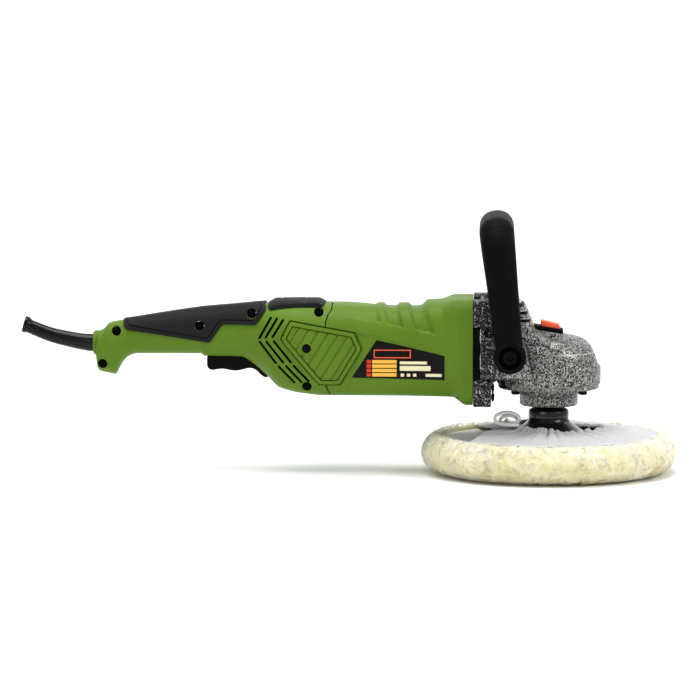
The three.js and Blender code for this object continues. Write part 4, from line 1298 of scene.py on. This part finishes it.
def wool_tufts(count):
    """Thin curled strands that lie over the fleece in locks, as one mesh of closed cones."""
    pick = random.Random(7)
    outer = WOOL[2:]
    lengths = [math.dist(a, b) for a, b in zip(outer, outer[1:])]
    vertices, faces = [], []
    shortest, longest, droop = 2.5, 5.0, 1.2
    for _ in range(count):
        i = pick.choices(range(len(lengths)), lengths)[0]
        (r0, z0), (r1, z1) = outer[i], outer[i + 1]
        t, angle = pick.random(), pick.uniform(0, 2 * math.pi)
        r, z = r0 + (r1 - r0) * t, z0 + (z1 - z0) * t
        radial = Vector((math.cos(angle), math.sin(angle), 0))
        down = (radial * (r1 - r0) + Vector((0, 0, z1 - z0))).normalized()
        round_way = Vector((-radial.y, radial.x, 0))
        normal = round_way.cross(down).normalized()
        root = radial * r + Vector((0, 0, z))
        root += normal * (wool_height(root, angle) - 0.3)
        lean_a = noise.noise(root * 0.07) * 4.0 + pick.uniform(-0.4, 0.4)
        lean_b = noise.noise(root * 0.07 + Vector((40, 2, 9))) * 4.0 + 0.5
        way = (normal * 0.8 + round_way * lean_a + down * lean_b).normalized()
        curl = (round_way * pick.uniform(-1, 1) - normal * pick.uniform(0.2, 0.9)).normalized()
        length, thick = pick.uniform(shortest, longest), pick.uniform(0.13, 0.26)
        tip = root + way * length + curl * droop
        if tip.z < 0.8:  # it would reach the floor
            continue
        side_a = way.orthogonal().normalized()
        side_b = way.cross(side_a)
        start = len(vertices)
        for level, width in ((-0.1, 0.9), (0.55, 0.8)):
            middle = root + way * (length * level) + curl * (droop * max(0, level) ** 2)
            for k in range(3):
                turn = 2 * math.pi * k / 3
                corner = middle + (side_a * math.cos(turn) + side_b * math.sin(turn)) * thick * width
                corner.z = max(corner.z, 0.2)
                vertices.append(corner)
        vertices.append(tip)
        faces.append((start + 2, start + 1, start))
        for k in range(3):
            n = (k + 1) % 3
            faces.append((start + k, start + n, start + 3 + n, start + 3 + k))
            faces.append((start + 3 + k, start + 3 + n, start + 6))
    return mesh_object("tufts", vertices, faces)


def combine_loose(target, other):
    """Adds another mesh's closed pieces to a mesh as they are."""
    shape = bmesh.new()
    shape.from_mesh(target.data)
    shape.from_mesh(other.data)
    shape.to_mesh(target.data)
    shape.free()
    bpy.data.objects.remove(other)
    return target


def wool_height(point, angle):
    """How far the pile stands out at a point of the bonnet's surface."""
    twist = Vector((noise.noise(point * 0.05), noise.noise(point * 0.05 + Vector((9, 3, 5))), 0)) * 9
    along = Vector((angle * 60, point.z * 0.45, 0)) + twist
    locks = noise.noise(along * 0.17)
    strands = noise.noise(along * 0.55 + Vector((3, 7, 1)))
    fine = noise.noise(Vector((angle * 240, point.z * 0.6, 2)))
    return 1.2 * locks + 0.5 * strands + 0.15 * fine - 0.3


HEM = 0.09  # the hem's share of the way from the opening to the sewn edge
ENDS_R = 60  # distance at which the skirt's two ends are first compared
# The skirt's two ends, from the opening outwards: they leave the pad bare between them.
NEAR_END = [(-46, -6), (-57, -27), (-63, -48), (-68.5, -62.6)]
FAR_END = [(-46, 6), (-55, 36), (-60, 60), (-61.5, 69.5)]


def end_angle(points, r):
    """Direction from the middle to an end of the skirt at one distance."""
    line = sorted((math.hypot(x, y), math.atan2(y, x) % (2 * math.pi)) for x, y in points)
    return line_at(line, r)


def cloth_height(r, angle, share):
    """Height of the skirt: flat at its sewn edge, then up the neck's flare to its rolled hem."""
    lie = FOAM_TOP + 0.4 + 4.6 * ease(SKIRT_R, 60, r)
    hem = 1.6 * math.sin(math.pi * min(1.0, share / HEM)) if share < HEM else 0.0
    return max(lie, neck_height(r) + 0.9) + hem + pleats(angle, share)


def pleats(angle, share):
    """Gathers that start at the opening and fade towards the sewn edge."""
    slow = noise.noise(Vector((math.cos(angle) * 3, math.sin(angle) * 3, 1.5)))
    wide = abs(math.sin(angle * 11 + 6 * slow)) ** 0.7
    narrow = abs(math.sin(angle * 23 - 4 * slow)) ** 0.8
    fold = 2.4 * wide * (1 - ease(0.35, 1.0, share)) + 1.5 * narrow * (1 - ease(0.1, 0.6, share))
    return fold * (0.75 + 0.6 * slow) + 0.5 * noise.noise(Vector((angle * 9, share * 3, 0)))


def bonnet_cloth():
    """The cotton skirt drawn in over the pad by its string."""
    rows, columns, thickness = 46, 420, 0.9
    first = end_angle(NEAR_END, ENDS_R)
    turn = 2 * math.pi - first + end_angle(FAR_END, ENDS_R)
    vertices, faces = [], []
    for i in range(rows + 1):
        share = i / rows
        for k in range(columns + 1):
            around = k / columns
            angle = first + turn * around
            r0 = opening_reach(math.cos(angle), math.sin(angle))
            r = r0 + (SKIRT_R - r0) * share
            near, far = end_angle(NEAR_END, r), end_angle(FAR_END, r)
            angle = near + (2 * math.pi - (near - far)) * around
            z = cloth_height(r, angle, share)
            vertices.append((r * math.cos(angle), r * math.sin(angle), z))
    wide = columns + 1
    for i in range(rows):
        for k in range(columns):
            a = i * wide + k
            faces.append((a, a + 1, a + wide + 1, a + wide))
    cloth = mesh_object("cloth", vertices, faces)
    thick = cloth.modifiers.new("thick", "SOLIDIFY")
    thick.thickness = thickness
    thick.offset = 1
    return settle(cloth)


def opening_reach(c, s):
    """Distance from the spindle to the opening's edge in one direction."""
    middle, half_x, half_y = OPENING
    a = (c / half_x) ** 2 + (s / half_y) ** 2
    b = -2 * middle * c / half_x**2
    d = (middle / half_x) ** 2 - 1
    return (-b + math.sqrt(b * b - 4 * a * d)) / (2 * a)


STRING_D = 3.2
STRING_TURNS = 2.4
STRING_LOW = 42.0  # height of the loops' lowest points
# The first and the last loop's middle along the tool, its place across it, and its radius.
STRING_X = (-35.5, -31.5)
STRING_Y = (-18.5, -8.5)
STRING_RADII = (11.5, 4.4)
FLATTENED = 0.54  # the loops' height as a share of their length


def string_route():
    """The cord's points: a tail from the hem, then loops that shrink as they go back."""
    route = [(-25.5, -17.5, 42), (-29.5, -18.4, 41.9)]
    count = 28
    for k in range(count + 1):
        share = k / count
        angle = -math.pi / 2 + 0.2 - 2 * math.pi * STRING_TURNS * share
        ends = (STRING_X, STRING_Y, STRING_RADII)
        x, y, radius = [first + (last - first) * share for first, last in ends]
        up = FLATTENED * radius
        route.append((x + radius * math.cos(angle), y, STRING_LOW + up + up * math.sin(angle)))
    return passed_through(route, 5)


def drawstring():
    """The drawstring as a cord along its route, with its length in metres."""
    points = string_route()
    length = sum(math.dist(a, b) for a, b in zip(points, points[1:])) * MM
    curve = bpy.data.curves.new("drawstring", "CURVE")
    curve.dimensions = "3D"
    curve.bevel_depth = STRING_D / 2 * MM
    curve.bevel_resolution = 5
    curve.use_fill_caps = True
    line = curve.splines.new("POLY")
    line.points.add(len(points) - 1)
    for target, point in zip(line.points, points):
        target.co = (*[v * MM for v in point], 1)
    curve.materials.append(STRING)
    return scene_object("drawstring_cord", curve), length, points[0]


# ---- Stage ----

# Everything below is in metres.
AIM = Vector((-169.6, 0.0, 103.8)) * MM
CAMERA_AZIMUTH = math.radians(2.0)
CAMERA_ELEVATION = math.radians(5.9)
CAMERA_DISTANCE = 3.486
LENS, SENSOR = 210, 36  # in millimetres


def looking(name, data, location, aim):
    """A camera or light at a place, turned to look at another."""
    obj = scene_object(name, data)
    obj.location = location
    obj.rotation_euler = (Vector(aim) - Vector(location)).to_track_quat("-Z", "Y").to_euler()
    return obj


def camera():
    """The photograph's viewpoint: nearly square to the tool's right side, from a little above."""
    away = Vector((math.sin(CAMERA_AZIMUTH), -math.cos(CAMERA_AZIMUTH), math.tan(CAMERA_ELEVATION)))
    data = bpy.data.cameras.new("camera")
    data.lens = LENS
    data.sensor_width = SENSOR
    obj = looking("camera", data, AIM + away.normalized() * CAMERA_DISTANCE, AIM)
    bpy.context.scene.camera = obj
    return obj


def soft_light(name, location, size, power, aim=AIM):
    """A round soft light of so many watts, with its diameter in metres."""
    data = bpy.data.lights.new(name, "AREA")
    data.shape = "DISK"
    data.size = size
    data.energy = power
    return looking(name, data, location, aim)


def floor():
    """A plain pale floor that curves up behind."""
    mesh = bpy.data.meshes.new("floor")
    reach, bend_y, bend_r = 6, 3, 1.5
    depth = [(-reach, 0)]
    for a in spread(0, math.pi / 2, 0.1):
        depth.append((bend_y + bend_r * math.sin(a), bend_r - bend_r * math.cos(a)))
    depth.append((bend_y + bend_r, reach))
    vertices = [(x, y, z) for y, z in depth for x in (-reach, reach)]
    faces = [(2 * i, 2 * i + 1, 2 * i + 3, 2 * i + 2) for i in range(len(depth) - 1)]
    mesh.from_pydata(vertices, [], faces)
    mesh.polygons.foreach_set("use_smooth", [True] * len(faces))
    pale = bpy.data.materials.new("pale_floor")
    pale.use_nodes = True
    surface = pale.node_tree.nodes["Principled BSDF"]
    surface.inputs["Base Color"].default_value = (0.87, 0.87, 0.87, 1)
    surface.inputs["Roughness"].default_value = 0.8
    surface.inputs["Specular IOR Level"].default_value = 0.1
    mesh.materials.append(pale)
    return scene_object("floor", mesh)


def stage():
    """The camera, the floor, lights on the tool and on the wall behind, and a white sky."""
    world = bpy.data.worlds.new("studio")
    world.use_nodes = True
    world.node_tree.nodes["Background"].inputs["Color"].default_value = (1, 1, 1, 1)
    world.node_tree.nodes["Background"].inputs["Strength"].default_value = 0.4
    bpy.context.scene.world = world
    camera()
    floor()
    soft_light("top", (-0.3, -0.1, 2.1), 1.6, 48)
    soft_light("front", (-1.3, -1.9, 1.1), 1.2, 10)
    soft_light("edge", (1.5, -0.9, 1.2), 0.9, 18)
    soft_light("wall_left", (-2.2, 1.9, 2.4), 1.5, 70, aim=(-1.0, 4.3, 0.6))
    soft_light("wall_right", (2.0, 1.9, 2.4), 1.5, 70, aim=(0.8, 4.3, 0.6))
    bpy.context.scene.view_settings.view_transform = "Standard"


# ---- Everything in its place ----

def both_sides(piece, name, material, node=None):
    """Places a piece on the tool's right side and its mirror image on the left."""
    for obj, side in ((mirrored(piece), "left"), (piece, "right")):
        place(obj, f"{side}_{name}", material, "housing", [f"{node}_{side}"] if node else ())


def tie_drawstring():
    """The drawstring as a cord riding on the spindle, in place of the CAD model's drawstring."""
    cord, length, hem = drawstring()
    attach(cord, "spindle")
    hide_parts("drawstring")


def build_body():
    """Handle shells, motor housing and the skins on them."""
    shell = right_shell()
    left = mirrored(shell)
    carved(left, rod("y", LOCK_ON, 10, 40, 5.5), rod("y", DIAL, 13, 40, 9.2, 64))
    place(shell, "right_handle_shell", GREEN, "housing", ["handle_shell_right"])
    place(left, "left_handle_shell", GREEN, "housing", ["handle_shell_left"])
    place(air_guide(), "air_guide", BLACK, "housing")
    place(motor_housing(), "barrel", GREEN, "housing", ["motor_housing"])
    both_sides(grip(), "grip", RUBBER, "grip")
    place(top_pad(), "rubber_top_pad", RUBBER, "housing", ["top_pad"])
    both_sides(brush_cover(), "brush_cover", GREEN, "brush_cover")
    for name, material, level, outlines in label_marks():
        both_sides(label_piece(outlines, level), f"label_{name}", material)
    place(cord_guard(), "bent_cord_guard", SLEEVE, "housing", ["cord_guard"])


def build_screws():
    """Every screw and bolt, each on the face that it enters."""
    # What each holds, its look, kind and number, its sizes, its direction and its place.
    fixings = []
    for i, (x, z) in enumerate(SHELL_SCREWS, 1):
        at = (x, SCREW_DEPTH - half_width(x, z), z)
        fixings.append(("shell", "cross_screw", "screw", i, (3.6, 2.4, 1.7, 12), (0, -1, 0), at))
    for side, name in ((-1, "right"), (1, "left")):
        out = (0, side, 0)
        at = (COVER_SCREW[0], side * (half_width(*COVER_SCREW) + 0.4), COVER_SCREW[1])
        fixings.append(("cover", "cross_screw", "screw", name, (3.5, 1.7, 1.6, 0.3), out, at))
        at = (PIVOT.x, side * 58.3, PIVOT.z)
        fixings.append(("handle", "socket_bolt", "bolt", name, (6.2, 6, 3.9, 22, True), out, at))
    for i, (y, z) in enumerate(FLANGE_SCREWS, 1):
        at = (LUG_X + 0.3, y, z)
        fixings.append(("flange", "cross_screw", "screw", i, (4, 2.6, 2, 27), (1, 0, 0), at))
    for i, (x, y) in enumerate(BOX_SCREWS, 1):
        at = (x, y, 72.1)
        fixings.append(("box", "cross_screw", "screw", i, (3.9, 3.1, 1.8, 12), (0, 0, -1), at))
    for owner, look, kind, number, sizes, out, at in fixings:
        piece = aimed(screw(*sizes), out, at)
        place(piece, f"{owner}_{look}_{number}", BLACK_STEEL, "housing", [f"{owner}_{kind}_{number}"])


def build_head():
    """The gear head and what is fixed to it."""
    place(gear_housing(), "gear_head_casting", HAMMERTONE, "housing", ["gear_housing"])
    place(bearing_box(), "bearing_box_casting", HAMMERTONE, "housing", ["bearing_box"])
    place(fan_baffle(), "black_fan_baffle", BLACK, "housing", ["fan_baffle"])
    # The black deflector and louvre bars also stand in for the shade under the head and inside its
    # louvres.
    for make in (deflector_and_shade, louvre_bars, button_bezel):
        place(make(), make.__name__, BLACK, "housing")
    spring = place(lock_spring(), "coil_lock_spring", STEEL, "housing", ["lock_spring"])
    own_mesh(spring)


def build_controls():
    """The pieces that a hand moves."""
    place(lock_button(), "orange_lock_button", ORANGE, "lock_button", ["lock_button"])
    place(trigger(), "finger_trigger", BLACK, "trigger", ["trigger"])
    place(lock_on_button(), "dished_lock_on_button", BLACK, "lock_on_button", ["lock_on_button"])
    place(speed_dial(), "knurled_speed_dial", BLACK, "speed_dial", ["speed_dial"])
    place(d_handle(), "bow_handle", BLACK, "d_handle", ["d_handle"])


def build_bonnet():
    """The backing plate, and the soft parts that it carries."""
    place(backing_plate(), "moulded_backing_plate", GLOSS, "spindle", ["backing_plate"])
    pad = place(foam_pad(), "foam_disc", FOAM, "spindle", ["foam_pad"])
    fleece = place(wool_bonnet(), "lambswool", WOOL_PILE, "spindle", ["wool_bonnet"], sharp=0)
    skirt = place(bonnet_cloth(), "gathered_skirt", CLOTH, "spindle", ["bonnet_cloth"])


# The CAD nodes that keep their own shapes, by material.
INTERNALS = {
    STEEL: ["rear_bearing", "front_bearing", "armature_shaft", "bevel_pinion", "spindle_bearing",
            "bevel_gear", "lock_pin"],
    BLACK_STEEL: ["spindle"],
    LAMINATION: ["stator_core", "armature_core"],
    COPPER: ["field_winding", "commutator"],
    BRASS: ["brush_holder_right", "brush_holder_left"],
    CARBON: ["carbon_brush_right", "carbon_brush_left"],
    PHENOLIC: ["switch_module", "speed_control"],
    BLACK: ["fan"],
}

for build in (tie_drawstring, build_body, build_screws, build_head, build_controls, build_bonnet):
    build()
for material, names in INTERNALS.items():
    for name in names:
        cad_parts[name].data.materials.clear()
        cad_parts[name].data.materials.append(material)
stage()
